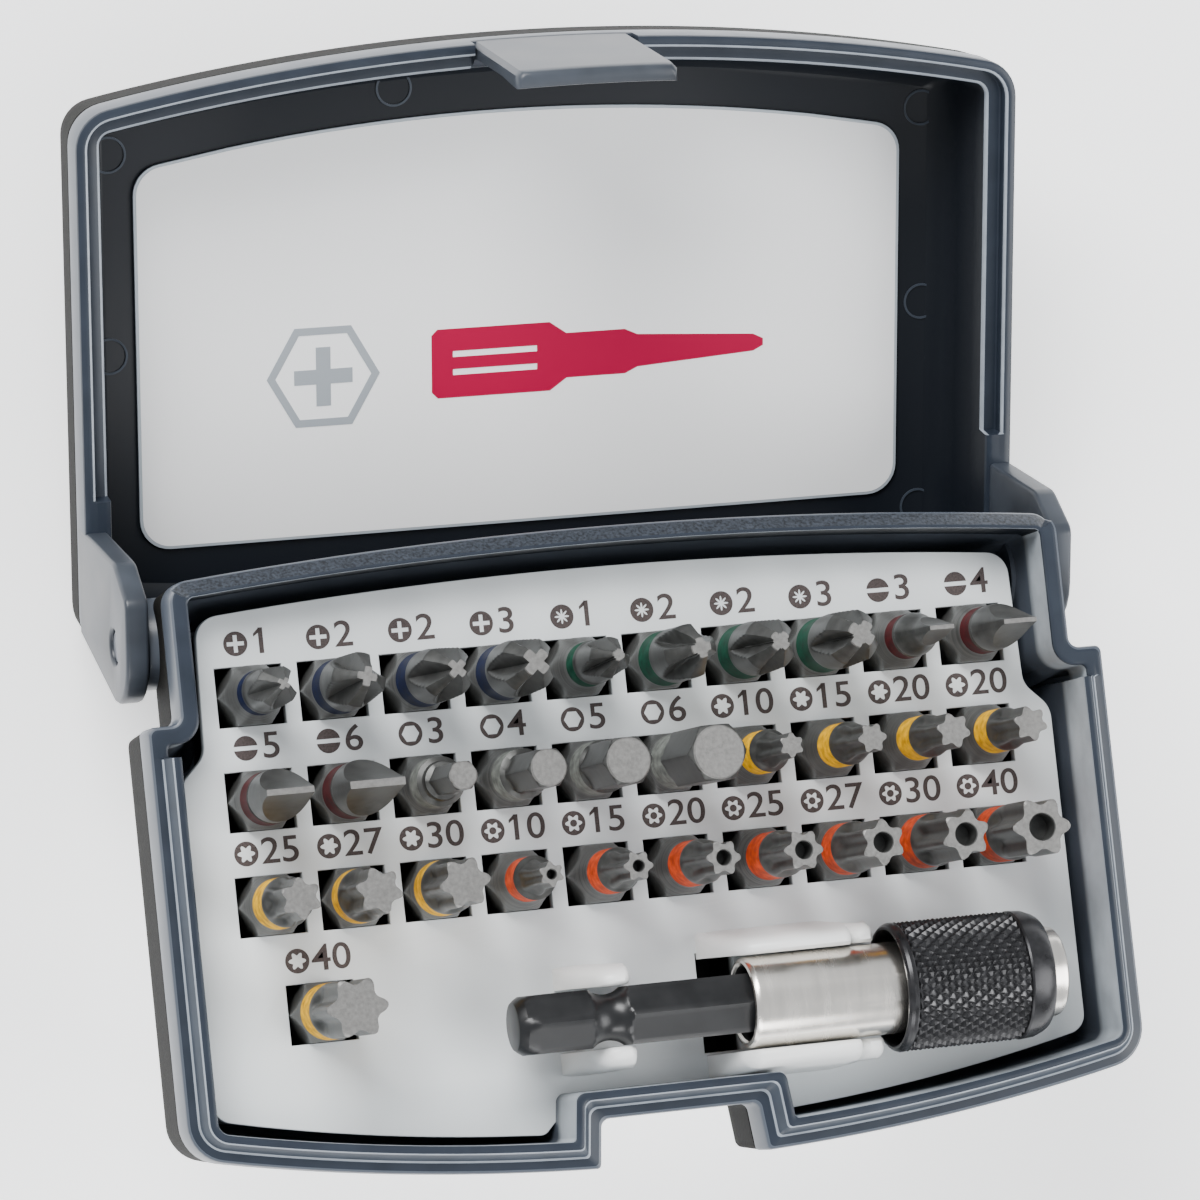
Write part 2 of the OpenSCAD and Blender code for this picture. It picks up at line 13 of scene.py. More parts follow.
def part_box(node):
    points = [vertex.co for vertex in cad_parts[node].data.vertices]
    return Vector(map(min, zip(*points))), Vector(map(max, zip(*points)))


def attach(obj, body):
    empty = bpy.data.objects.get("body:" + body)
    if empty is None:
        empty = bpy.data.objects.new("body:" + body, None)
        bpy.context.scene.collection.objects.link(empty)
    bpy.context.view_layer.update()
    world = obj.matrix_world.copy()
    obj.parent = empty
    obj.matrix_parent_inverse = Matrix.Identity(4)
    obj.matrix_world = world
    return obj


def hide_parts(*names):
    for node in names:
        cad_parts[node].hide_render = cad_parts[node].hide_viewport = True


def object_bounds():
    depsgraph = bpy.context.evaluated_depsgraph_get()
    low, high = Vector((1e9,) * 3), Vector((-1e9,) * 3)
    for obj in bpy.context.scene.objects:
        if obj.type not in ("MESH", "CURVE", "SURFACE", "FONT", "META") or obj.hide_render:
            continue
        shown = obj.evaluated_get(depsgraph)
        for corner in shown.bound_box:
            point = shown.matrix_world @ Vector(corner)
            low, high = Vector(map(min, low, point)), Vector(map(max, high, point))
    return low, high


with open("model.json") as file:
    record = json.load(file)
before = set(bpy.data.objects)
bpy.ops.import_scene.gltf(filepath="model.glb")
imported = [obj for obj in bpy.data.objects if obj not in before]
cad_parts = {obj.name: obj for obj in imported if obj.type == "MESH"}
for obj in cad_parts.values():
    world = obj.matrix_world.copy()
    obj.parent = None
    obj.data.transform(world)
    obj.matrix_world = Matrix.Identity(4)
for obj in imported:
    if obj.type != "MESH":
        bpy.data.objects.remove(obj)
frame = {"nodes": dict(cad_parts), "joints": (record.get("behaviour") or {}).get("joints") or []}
cad_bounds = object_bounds()

MM = 0.001
COL = bpy.context.scene.collection


def box_mm(node):
    """Corners of a CAD node's box in millimetres."""
    low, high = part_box(node)
    return low / MM, high / MM


# ---- driving sizes, taken from the CAD boxes --------

shell_high = box_mm("base_shell")[1]
cover_high = box_mm("base_cover")[1]
tube_low, tube_high = box_mm("holder_tube")
shank_low, shank_high = box_mm("holder_shank")
sleeve_low, sleeve_high = box_mm("holder_sleeve")

LIP_H = 1.6
HALF_W = shell_high.x  # half the width of the case's front part
BACK_HALF_W = HALF_W - 3.7  # half the width of its back part
BACK_Y = 34.4  # furthest points of the bowed back and front walls
FRONT_Y = 35.2
BASE_H = shell_high.z - LIP_H
COVER_TOP = cover_high.z
TOTAL_H = 36.0
FOOT_R = 8.5  # rounding of the case's outer edges, and how far it reaches inwards
FOOT_IN = 6.2
SHOULDER_Y = 16.6  # the case narrows behind this line
RECESS_HALF_W = 9.45  # thumb recess in the front wall
RECESS_Y = -29.75
BACK_BOW = 500  # radii of the bowed walls
FRONT_BOW = 254
FLOOR_Z = 2.9  # inner floor of the base
TRAY_Z = 13.0  # top of the tray
LIP_END_Y = SHOULDER_Y - 3.4  # the raised lip stops here on each side
HEX_FLATS = 6.35  # quarter-inch hexagon, across its flats
HEX_CORNER = 3.667  # and its corner radius

lid_joint = next(j for j in frame["joints"] if j["name"] == "lid_hinge")
HINGE = Vector(lid_joint["pos_m"]) / MM
SHUT_DEG = lid_joint["range_deg"][0]
AXIS_Y = (tube_low.y + tube_high.y) / 2
AXIS_Z = (tube_low.z + tube_high.z) / 2


# ---- materials --------


def principled(name, color, rough, metallic=0.0, shine=0.5, **more):
    """Material with one Principled node; more names its other inputs."""
    mat = bpy.data.materials.new(name)
    mat.use_nodes = True
    node = mat.node_tree.nodes["Principled BSDF"]
    node.inputs["Base Color"].default_value = (*color, 1)
    node.inputs["Roughness"].default_value = rough
    node.inputs["Metallic"].default_value = metallic
    node.inputs["Specular IOR Level"].default_value = shine
    for key, value in more.items():
        node.inputs[key.replace("_", " ")].default_value = value
    return mat


def add_noise(mat, scale, mottle=0.0, wear=0.0, bump=0.0, stretch=(1, 1, 1), detail=3.0):
    """Varies a Principled material with object-space noise, scale grains to the metre.
    mottle is the relative spread of its colour and wear the spread of its roughness."""
    tree = mat.node_tree
    link = tree.links.new
    shader = tree.nodes["Principled BSDF"]
    coord = tree.nodes.new("ShaderNodeTexCoord")
    mapping = tree.nodes.new("ShaderNodeMapping")
    mapping.inputs["Scale"].default_value = stretch
    noise = tree.nodes.new("ShaderNodeTexNoise")
    noise.inputs["Scale"].default_value = scale
    noise.inputs["Detail"].default_value = detail
    link(coord.outputs["Object"], mapping.inputs["Vector"])
    link(mapping.outputs["Vector"], noise.inputs["Vector"])
    if mottle:
        base = shader.inputs["Base Color"].default_value[:3]
        ramp = tree.nodes.new("ShaderNodeValToRGB")
        ramp.color_ramp.elements[0].position = 0.3
        ramp.color_ramp.elements[1].position = 0.7
        ramp.color_ramp.elements[0].color = (*[c * (1 - mottle) for c in base], 1)
        ramp.color_ramp.elements[1].color = (*[min(1, c * (1 + mottle)) for c in base], 1)
        link(noise.outputs["Fac"], ramp.inputs["Fac"])
        link(ramp.outputs["Color"], shader.inputs["Base Color"])
    if wear:
        rough = shader.inputs["Roughness"].default_value
        spread = tree.nodes.new("ShaderNodeMapRange")
        spread.inputs["To Min"].default_value = max(0.02, rough - wear)
        spread.inputs["To Max"].default_value = min(1.0, rough + wear)
        link(noise.outputs["Fac"], spread.inputs["Value"])
        link(spread.outputs["Result"], shader.inputs["Roughness"])
    if bump:
        bumper = tree.nodes.new("ShaderNodeBump")
        bumper.inputs["Strength"].default_value = bump
        bumper.inputs["Distance"].default_value = 0.0001
        link(noise.outputs["Fac"], bumper.inputs["Height"])
        link(bumper.outputs["Normal"], shader.inputs["Normal"])
    return mat


def dark_below(mat, color, z_top, z_fade):
    """Fades a material to color below z_top (mm), where hardly any light gets in."""
    tree = mat.node_tree
    link = tree.links.new
    shader = tree.nodes["Principled BSDF"]
    coord = tree.nodes.new("ShaderNodeTexCoord")
    split = tree.nodes.new("ShaderNodeSeparateXYZ")
    fade = tree.nodes.new("ShaderNodeMapRange")
    fade.inputs["From Min"].default_value = (z_top - z_fade) * MM
    fade.inputs["From Max"].default_value = z_top * MM
    mix = tree.nodes.new("ShaderNodeMix")
    mix.data_type = "RGBA"
    mix.inputs["A"].default_value = (*color, 1)
    mix.inputs["B"].default_value = shader.inputs["Base Color"].default_value
    old = shader.inputs["Base Color"].links
    if old:
        link(old[0].from_socket, mix.inputs["B"])
    link(coord.outputs["Object"], split.inputs["Vector"])
    link(split.outputs["Z"], fade.inputs["Value"])
    link(fade.outputs["Result"], mix.inputs["Factor"])
    link(mix.outputs["Result"], shader.inputs["Base Color"])
    return mat


clear = principled("clear_case", (0.07, 0.083, 0.105), 0.32, Transmission_Weight=0.12, IOR=1.49)
add_noise(clear, 260, wear=0.08, bump=0.15)
# Lit and shaded copies of the clear plastic, handed out step by step round the shell. The rim, ledge and
# over-dark looks are painted shade, where the wall looks through to the dark cover and the unlit inside. The
# slope look is painted light, where the pale backdrop shows through.
clear_rim = principled("clear_case_rim", (0.017, 0.023, 0.034), 0.36, shine=0.3)
add_noise(clear_rim, 260, mottle=0.12, wear=0.08, bump=0.15)
clear_ledge = principled("clear_case_ledge", (0.04, 0.05, 0.066), 0.36, shine=0.35)
add_noise(clear_ledge, 300, mottle=0.15, wear=0.08, bump=0.15)
clear_slope = principled("clear_case_slope", (0.24, 0.27, 0.31), 0.34, shine=0.4)
add_noise(clear_slope, 400, mottle=0.12, wear=0.08, bump=0.15)
clear_dark = principled("clear_case_over_dark", (0.006, 0.008, 0.012), 0.42, shine=0.25)
add_noise(clear_dark, 90, wear=0.05)
cover_grey = principled("case_cover", (0.011, 0.0105, 0.0095), 0.7, shine=0.1)
add_noise(cover_grey, 3500, mottle=0.55, bump=0.5, detail=2)
rim_speckle = principled("rim_texture", (0.026, 0.031, 0.04), 0.45, shine=0.3)
add_noise(rim_speckle, 3000, mottle=0.7, bump=0.4, detail=2)
# Darker copy of the clear plastic for the hinge ears and the latch tongue: painted shade.
clear_painted_shade = principled("clear_case_painted_shade", (0.032, 0.038, 0.048), 0.36, shine=0.4)
add_noise(clear_painted_shade, 130, mottle=0.35, wear=0.08, bump=0.15)
# Lighter copy of the clear plastic for the inner wall under the rim: painted light, fading to painted shade
# below 15.2 mm, down by the tray.
wall_painted_light_and_shade = principled("clear_wall_painted_light_and_shade", (0.3, 0.33, 0.36), 0.35)
add_noise(wall_painted_light_and_shade, 300, mottle=0.15, wear=0.08, bump=0.15)
dark_below(wall_painted_light_and_shade, (0.006, 0.006, 0.007), 15.2, 2.0)
# Lighter copy of the tray plastic for the clips: painted light, as the raised clips catch more light than the
# plate round them.
tray_clips_painted_light = principled("tray_clips_painted_light", (0.85, 0.86, 0.85), 0.36)
add_noise(tray_clips_painted_light, 35, mottle=0.02, wear=0.05)
tray_body = principled("tray_body", (0.74, 0.775, 0.785), 0.4)
add_noise(tray_body, 35, mottle=0.02)
dark_below(tray_body, (0.006, 0.005, 0.004), 12.6, 1.6)
print_ink = principled("print_ink", (0.055, 0.04, 0.038), 0.7)
add_noise(print_ink, 5000, mottle=0.35)
sheet_white = principled("sheet_white", (0.93, 0.935, 0.94), 0.3)
add_noise(sheet_white, 20, mottle=0.015, wear=0.04)
sheet_edge = principled("sheet_edge", (0.45, 0.5, 0.55), 0.3)
add_noise(sheet_edge, 40, mottle=0.03)
sheet_grey = principled("sheet_grey", (0.30, 0.33, 0.36), 0.35)
add_noise(sheet_grey, 40, mottle=0.03)
sheet_red = principled("sheet_red", (0.36, 0.0, 0.042), 0.5, shine=0.1)
add_noise(sheet_red, 40, mottle=0.03)
bit_grey = principled("bit_grey", (0.12, 0.121, 0.117), 0.42, 0.6, shine=0.3)
add_noise(bit_grey, 420, mottle=0.28, wear=0.12, bump=0.5, stretch=(0.15, 0.15, 14))
bit_flat = principled("bit_flat", (0.08, 0.081, 0.078), 0.4, 0.6, shine=0.3)
add_noise(bit_flat, 700, mottle=0.25, wear=0.12, bump=0.2)
bit_bright = principled("bit_bright", (0.185, 0.182, 0.175), 0.42, 0.45, shine=0.3)
add_noise(bit_bright, 2600, mottle=0.14, wear=0.1, bump=0.3)
oxide_black = principled("oxide_black", (0.01, 0.0105, 0.0115), 0.34, 0.2)
add_noise(oxide_black, 350, mottle=0.25, wear=0.12, bump=0.08)
knurl_black = principled("knurl_black", (0.022, 0.022, 0.024), 0.3, 0.5)
add_noise(knurl_black, 900, mottle=0.3, wear=0.1)
nickel = principled("nickel", (0.86, 0.82, 0.76), 0.26, 1.0)
add_noise(nickel, 120, mottle=0.04, wear=0.06, bump=0.03, stretch=(8, 1, 1))
ring_steel = principled("ring_steel", (0.45, 0.45, 0.47), 0.3, 1.0)
add_noise(ring_steel, 300, mottle=0.05, wear=0.08)
# Painted shade: near black for the insides of the holder's holes.
hole_painted_shade = principled("hole_painted_shade", (0.01, 0.01, 0.01), 0.6, 0.3)
add_noise(hole_painted_shade, 500, mottle=0.2)
BANDS = {
    "ph": ("band_navy", (0.006, 0.010, 0.038)),
    "pz": ("band_green", (0.006, 0.052, 0.03)),
    "sl": ("band_red", (0.06, 0.007, 0.009)),
    "hex": ("band_grey", (0.17, 0.18, 0.165)),
    "torx": ("band_yellow", (0.85, 0.4, 0.0)),
    "tamper": ("band_orange", (0.5, 0.055, 0.012)),
}
band_paint = {}
for kind, (paint_name, color) in BANDS.items():
    band_paint[kind] = principled("paint_" + paint_name, color, 0.5, shine=0.08)
    add_noise(band_paint[kind], 1100, mottle=0.4, wear=0.1)


# ---- mesh helpers --------


def finish_mesh(name, verts, faces, mats, face_mats, sharp_deg=32):
    """Object from vertices in millimetres, smooth except at edges sharper than sharp_deg."""
    mesh = bpy.data.meshes.new(name)
    mesh.from_pydata([tuple(c * MM for c in v) for v in verts], [], faces)
    for mat in mats:
        mesh.materials.append(mat)
    if face_mats:
        mesh.polygons.foreach_set("material_index", face_mats)
    obj = bpy.data.objects.new(name, mesh)
    COL.objects.link(obj)
    soften(obj, sharp_deg)
    return obj


def soften(obj, sharp_deg=32):
    """Recalculates normals outwards, welds doubles and marks the sharp edges."""
    bm = bmesh.new()
    bm.from_mesh(obj.data)
    bmesh.ops.remove_doubles(bm, verts=bm.verts, dist=1e-7)
    bmesh.ops.recalc_face_normals(bm, faces=bm.faces)
    limit = math.radians(sharp_deg)
    for face in bm.faces:
        face.smooth = True
    for edge in bm.edges:
        edge.smooth = len(edge.link_faces) == 2 and edge.calc_face_angle(0) < limit
    bm.to_mesh(obj.data)
    bm.free()


def skin(name, rings, mats, ring_mats=None, sharp_deg=32):
    """Closed solid through a list of rings with the same number of points.
    ring_mats gives each step's material, as a number or as a list of numbers round the ring."""
    count = len(rings[0])
    verts = [tuple(p) for ring in rings for p in ring]
    faces, face_mats = [tuple(range(count))[::-1]], [0]
    for k in range(len(rings) - 1):
        step = ring_mats[k] if ring_mats else 0
        for j in range(count):
            a, b = k * count + j, k * count + (j + 1) % count
            faces.append((a, b, b + count, a + count))
            face_mats.append(step if isinstance(step, int) else step[j])
    last = (len(rings) - 1) * count
    faces.append(tuple(range(last, last + count)))
    face_mats.append(ring_mats[-1] if ring_mats else 0)
    return finish_mesh(name, verts, faces, mats, face_mats, sharp_deg)


def zone_mats(zones, lists):
    """Material of each step round a blended ring, from the zone of each point."""
    zone = np.argmax(np.array(zones), axis=0)
    return [[steps[z] for z in zone] for steps in zip(*lists)]


def corner(a, b, c, r, steps):
    """Corner b between a and c, rounded to radius r."""
    if r <= 0:
        return [b]
    a, b, c = (np.array(p, float) for p in (a, b, c))
    u, v = (a - b) / np.linalg.norm(a - b), (c - b) / np.linalg.norm(c - b)
    half = math.acos(max(-1, min(1, u @ v))) / 2
    mid = b + (u + v) / np.linalg.norm(u + v) * r / math.sin(half)
    first, last = b + u * r / math.tan(half) - mid, b + v * r / math.tan(half) - mid
    start = math.atan2(first[1], first[0])
    sweep = (math.atan2(last[1], last[0]) - start + math.pi) % (2 * math.pi) - math.pi
    turns = [start + sweep * k / steps for k in range(steps + 1)]
    return [tuple(mid + r * np.array([math.cos(t), math.sin(t)])) for t in turns]


def rounded(points, steps=8):
    """Closed outline from (x, y, corner radius) points."""
    out = []
    for i, (x, y, r) in enumerate(points):
        before, after = points[i - 1], points[(i + 1) % len(points)]
        out += corner(before[:2], (x, y), after[:2], r, steps)
    return np.array(out)


def bow(x, r):
    """How far an arc of radius r falls back at x from its middle."""
    return r - math.sqrt(r * r - x * x)


def bowed(x0, x1, y, r, side, steps=28):
    """Points between x0 and x1 along a bowed wall, without its ends."""
    xs = [x0 + (x1 - x0) * k / steps for k in range(1, steps)]
    return [(x, side * (y - bow(x, r)), 0) for x in xs]


def base_outline(inset):
    """Plan of the base, moved inwards; counter-clockwise from the front right corner."""
    w, wb = HALF_W - inset, BACK_HALF_W - inset
    yb, yf, ys = BACK_Y - inset, FRONT_Y - inset, SHOULDER_Y - inset
    rc, rb = max(4.5 - inset, 0.8), max(2.5 - inset, 0.8)
    gap = RECESS_HALF_W + min(inset, 3.2)
    gap_y = max(RECESS_Y + inset, -yf + bow(gap, FRONT_BOW) + 1.3)
    edge_y = -yf + bow(gap, FRONT_BOW)
    side_y = -yf + bow(w, FRONT_BOW)
    back_edge = yb - bow(wb, BACK_BOW)
    step_r = min(1.2 + inset * 0.7, 2.9)
    return rounded(
        [(w, side_y, rc), (w, LIP_END_Y - 0.1, 0), (w, LIP_END_Y + 0.1, 0), (w, ys, 0.7)]
        + [(wb, ys, step_r), (wb, back_edge, rb)]
        + bowed(wb - rb, -wb + rb, yb, BACK_BOW, 1)
        + [(-wb, back_edge, rb), (-wb, ys, step_r)]
        + [(-w, ys, 0.7), (-w, LIP_END_Y + 0.1, 0), (-w, LIP_END_Y - 0.1, 0), (-w, side_y, rc)]
        + bowed(-w + rc, -gap, yf, FRONT_BOW, -1)
        + [(-gap, edge_y, 0.5), (-gap + 0.6, gap_y, 1), (gap - 0.6, gap_y, 1), (gap, edge_y, 0.5)]
        + bowed(gap, w - rc, yf, FRONT_BOW, -1)
    )


def lid_outline(inset):
    """Plan of the lid: full width right back to the hinge."""
    w = HALF_W - inset
    yb, yf = BACK_Y - inset, FRONT_Y - inset
    rc = max(4.5 - inset, 0.8)
    side_y = -yf + bow(w, FRONT_BOW)
    gap = RECESS_HALF_W - 0.05
    gap_edge = -yf + bow(gap, FRONT_BOW)
    back_edge = yb - bow(w, BACK_BOW)
    return rounded(
        [(w, side_y, rc), (w, LIP_END_Y + 0.1, 0), (w, LIP_END_Y + 0.3, 0), (w, back_edge, rc)]
        + bowed(w - rc, -w + rc, yb, BACK_BOW, 1)
        + [(-w, back_edge, rc), (-w, LIP_END_Y + 0.3, 0), (-w, LIP_END_Y + 0.1, 0), (-w, side_y, rc)]
        + bowed(-w + rc, -gap, yf, FRONT_BOW, -1)
        + [(-gap, gap_edge, 0), (-gap + 0.1, gap_edge, 0)]
        + bowed(-gap + 0.1, gap - 0.1, yf, FRONT_BOW, -1, 8)
        + [(gap - 0.1, gap_edge, 0), (gap, gap_edge, 0)]
        + bowed(gap, w - rc, yf, FRONT_BOW, -1)
    )


def blend_rings(outline, profiles, weights):
    """Rings of a wall whose section changes round its plan.
    profiles are equal lists of (inset, z); weights gives each profile's share at each point."""
    rings = []
    for stations in zip(*profiles):
        plans = [outline(inset) for inset, _ in stations]
        ring = np.zeros((len(plans[0]), 3))
        for plan, (_, z), share in zip(plans, stations, weights):
            ring += np.c_[plan, np.full(len(plan), z)] * share[:, None]
        rings.append(ring)
    return rings


def shut_to_open():
    """Matrix that swings the shut lid to its drawn pose."""
    turn = Matrix.Rotation(math.radians(-SHUT_DEG), 4, Vector(lid_joint["axis"]))
    return Matrix.Translation(HINGE * MM) @ turn @ Matrix.Translation(-HINGE * MM)


def place(obj, body, slot_name, *stands_for):
    """Puts a finished piece on its body; stands_for names the CAD nodes it is shown for."""
    if body == "lid":
        obj.data.transform(shut_to_open())
    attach(obj, body)
    if stands_for:
        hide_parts(*stands_for)
    return obj


def mesh_of(obj):
    """Mesh of a curve, a text or an object with modifiers."""
    return bpy.data.meshes.new_from_object(obj.evaluated_get(bpy.context.evaluated_depsgraph_get()))


def from_curve(name, curve, mat, matrix):
    """Mesh object made from a curve or a text and moved by matrix."""
    temp = bpy.data.objects.new(name, curve)
    COL.objects.link(temp)
    mesh = mesh_of(temp)
    bpy.data.objects.remove(temp)
    mesh.transform(matrix)
    mesh.materials.clear()
    mesh.materials.append(mat)
    obj = bpy.data.objects.new(name, mesh)
    COL.objects.link(obj)
    return obj


def plate(name, outline, thick, mat, matrix, holes=(), edge=0.0, edge_steps=2):
    """Flat plate with rounded edges: outline and holes in its own plane, thick along its normal."""
    curve = bpy.data.curves.new(name, "CURVE")
    curve.dimensions = "2D"
    curve.fill_mode = "BOTH"
    curve.extrude = (thick / 2 - edge) * MM
    curve.bevel_depth = edge * MM
    curve.bevel_resolution = edge_steps
    curve.offset = -edge * MM
    for k, points in enumerate([outline, *holes]):
        spline = curve.splines.new("POLY")
        spline.points.add(len(points) - 1)
        for p, q in zip(spline.points, points):
            p.co = (q[0] * MM, q[1] * MM, 0, 1)
        spline.use_cyclic_u = True
    obj = from_curve(name, curve, mat, matrix)
    soften(obj, 40)
    return obj


def join(name, parts):
    """One object from several; material slots are kept."""
    for o in bpy.context.selected_objects:
        o.select_set(False)
    for o in parts:
        o.select_set(True)
    bpy.context.view_layer.objects.active = parts[0]
    bpy.ops.object.join()
    parts[0].name = name
    parts[0].data.name = name
    parts[0].select_set(False)
    return parts[0]


def at(x, y, z):
    """Matrix that moves by millimetres."""
    return Matrix.Translation(Vector((x, y, z)) * MM)


def around(steps):
    """Equal steps round a full turn."""
    return [2 * math.pi * k / steps for k in range(steps)]


def circle(x, y, r, steps=32):
    """Round outline, or a regular polygon when steps is small."""
    return [(x + r * math.cos(t), y + r * math.sin(t)) for t in around(steps)]


def lathe(name, profile, mats, ring_mats=None, steps=72, sharp_deg=32):
    """Round solid about the holder's axis from (x, radius) points.
    A radius may be a function of the angle."""
    rings = []
    for x, r in profile:
        ring = []
        for t in around(steps):
            rr = r(t) if callable(r) else r
            ring.append((x, AXIS_Y + rr * math.sin(t), AXIS_Z + rr * math.cos(t)))
        rings.append(ring)
    return skin(name, rings, mats, ring_mats, sharp_deg)


def hexagon(across):
    """Radius round a hexagon of this size across its flats, with a corner at the zero angle."""
    def radius(t):
        local = (t + math.pi / 6) % (math.pi / 3) - math.pi / 6
        return across / 2 / math.cos(math.pi / 6 - abs(local))
    return radius


# ---- base --------

plan = base_outline(0)
is_front = (plan[:, 1] < LIP_END_Y).astype(float)
is_back = ((plan[:, 1] > 30) & (abs(plan[:, 0]) < BACK_HALF_W - 0.6)).astype(float)
is_side = 1 - is_front - is_back

# Sections of the wall as (inset, z), from under the cover up the outside and down the inside.
hidden = [(4.6, 1.7), (1.9, 5.5), (1.9, COVER_TOP + 0.02), (0.3, COVER_TOP + 0.12), (0, COVER_TOP + 0.4)]
inner_end = [(3.4, 5), (4.8, FLOOR_Z)]
top = BASE_H
front = hidden + [(0, top - 0.4), (0.1, top - 0.12), (0.35, top), (1.2, top), (1.42, top + 0.12)]
front += [(2.05, top + 1.3), (2.2, top + 1.52), (2.42, top + LIP_H), (2.84, top + LIP_H)]
front += [(3.02, top + 1.5), (3.08, top + 1.3), (3.12, 14)]
side = hidden + [(0, top - 0.4), (0.1, top - 0.12), (0.35, top), (0.7, top), (1.0, top), (1.3, top)]
side += [(1.5, top), (1.7, top), (1.85, top - 0.02), (1.97, top - 0.1), (2.03, top - 0.3), (2.1, 14)]
back = hidden + [(0, top - 1.9), (0.05, top - 1.72), (0.2, top - 1.5), (1.1, top - 0.6), (1.45, top - 0.25)]
back += [(1.6, top - 0.1), (1.72, top - 0.02), (1.8, top), (1.87, top - 0.01), (1.94, top - 0.06)]
back += [(1.99, top - 0.2), (2.05, 14)]
zones = [is_front, is_side, is_back]
rings = blend_rings(base_outline, [p + inner_end for p in (front, side, back)], zones)
# Each step round the base wall takes one of the case looks. The rim, ledge and over-dark steps carry painted
# shade; the slope and inner wall steps carry painted light.
CLEAR, RIM, LEDGE, SLOPE, WALL_LIGHT_AND_SHADE, SPECKLE, CLEAR_DARK = range(7)
case_looks = [clear, clear_rim, clear_ledge, clear_slope, wall_painted_light_and_shade, rim_speckle, clear_dark]
outer = [CLEAR] * 7  # the steps below the rim
front_mats = outer + [RIM, SLOPE, LEDGE, SLOPE, RIM, RIM, RIM, SLOPE, WALL_LIGHT_AND_SHADE, CLEAR, CLEAR]
side_mats = outer + [RIM] * 8 + [WALL_LIGHT_AND_SHADE, CLEAR, CLEAR]
back_mats = outer + [SPECKLE] * 3 + [RIM] * 4 + [SLOPE, CLEAR_DARK, CLEAR, CLEAR]
ring_mats = zone_mats(zones, [front_mats, side_mats, back_mats]) + [CLEAR]
base_clear = skin("base_clear_shell", rings, case_looks, ring_mats)


def stub(sign, x_from, x_to, r):
    """Round stub along the hinge line, on the left (sign -1) or right side of the base."""
    edge = 0.25
    steps = [(x_from, r), (x_to - edge, r), (x_to - edge * 0.3, r - edge * 0.3), (x_to, r - edge)]
    rings = [[(sign * x, y, z) for y, z in circle(HINGE.y, HINGE.z, rr, 48)] for x, rr in steps]
    return skin("stub", rings, [clear])


BOSS_R, PIN_R, HINGE_HOLE_R = 5.0, 1.75, 1.95
BOSS_END, PIN_END = 51.6, 54.1
bosses = []
for sign in (-1, 1):
    bosses.append(stub(sign, BACK_HALF_W - 3, BOSS_END, BOSS_R))
    bosses.append(stub(sign, BOSS_END - 0.2, PIN_END, PIN_R))
place(join("base_clear_shell", [base_clear] + bosses), "base", "clear_case", "base_shell")

# The cover: rounded foot, short wall, and a thin inside that the clear shell stands in.
arc = [math.radians(9 * k) for k in range(11)]
edge_rings = [(0.3 + FOOT_IN * (1 - math.sin(a)), FOOT_R * (1 - math.cos(a))) for a in arc]
cover = edge_rings + [(0.08, COVER_TOP - 0.25), (0.3, COVER_TOP), (1.6, COVER_TOP), (1.78, COVER_TOP - 0.2)]
cover += [(1.8, 6.1), (3.2, 5.9), (3.2, 3.3), (4.7, 3.1), (4.8, 1.5)]
rings = blend_rings(base_outline, [cover], [np.ones(len(plan))])
place(skin("base_grey_cover", rings, [cover_grey]), "base", "case_cover", "base_cover")

# ---- lid, shaped shut and swung open by place() --------

plan = lid_outline(0)
in_gap = (abs(plan[:, 0]) < RECESS_HALF_W - 0.08) & (plan[:, 1] < 0)
is_front = ((plan[:, 1] < LIP_END_Y + 0.2) & ~in_gap).astype(float)
is_gap = in_gap.astype(float)
is_back = ((plan[:, 1] > 30) & (abs(plan[:, 0]) < HALF_W - 1)).astype(float)
is_side = 1 - is_front - is_gap - is_back
low = BASE_H + 0.1  # lower edge of the shut lid
band_top = BASE_H + 4.7  # the clear band ends and the grey cover begins
# Sections from inside the cover down the outside, over the lower edge and up to the ceiling.
hidden = [(4.9, TOTAL_H - 1.6), (3.3, TOTAL_H - 3.3), (1.9, TOTAL_H - 6.2), (1.9, band_top + 0.02)]
hidden += [(0.3, band_top - 0.1), (0, band_top - 0.35)]
roof = [(3.15, 24.5), (3.3, 29), (3.9, 31.1), (4.8, 32.5), (5.7, 33.1)]
front = hidden + [(0, low + 0.35), (0.1, low + 0.1), (0.35, low), (1.0, low), (1.22, low + 0.1)]
front += [(1.3, low + 0.3), (1.3, low + 1.7), (1.45, low + 1.85), (2.7, low + 1.85)]
front += [(2.95, low + 2.0), (3.05, low + 2.3)]
side = hidden + [(0, low + 0.35), (0.1, low + 0.1), (0.35, low), (0.9, low), (1.3, low), (1.6, low)]
side += [(1.9, low), (2.3, low), (2.7, low + 0.02), (2.93, low + 0.15), (3.05, low + 0.5)]
raised = low + 2.1  # the edge is higher over the thumb recess
gap = hidden + [(0, raised + 0.5), (0.1, raised + 0.2)]
gap += [(x, raised) for x in (0.35, 1.0, 1.4, 1.7, 1.9, 2.3)]
gap += [(2.7, raised + 0.02), (2.93, raised + 0.1), (3.05, raised + 0.4)]
back = hidden + [(0, low + 0.35), (0.1, low + 0.1), (0.3, low), (0.6, low), (0.8, low), (0.95, low)]
back += [(1.1, low), (1.25, low), (1.4, low + 0.05), (1.46, low + 0.15), (1.5, low + 0.5)]
zones = [is_front, is_side, is_gap, is_back]
rings = blend_rings(lid_outline, [p + roof for p in (front, side, gap, back)], zones)
# The lid's steps take the same copies: painted shade on the rim and all over the inside, painted light on the
# slopes.
rim_steps = [CLEAR] * 6 + [RIM] * 3 + [SLOPE] * 2 + [RIM] * 3 + [SLOPE] * 2
flat_steps = [CLEAR] * 6 + [RIM] * 10
inner_steps = [CLEAR_DARK] * (len(roof) + 1)
ring_mats = zone_mats(zones, [rim_steps + inner_steps] + [flat_steps + inner_steps] * 3)
ring_mats[-1] = CLEAR_DARK
lid_clear = skin("lid_clear_shell", rings, case_looks, ring_mats)


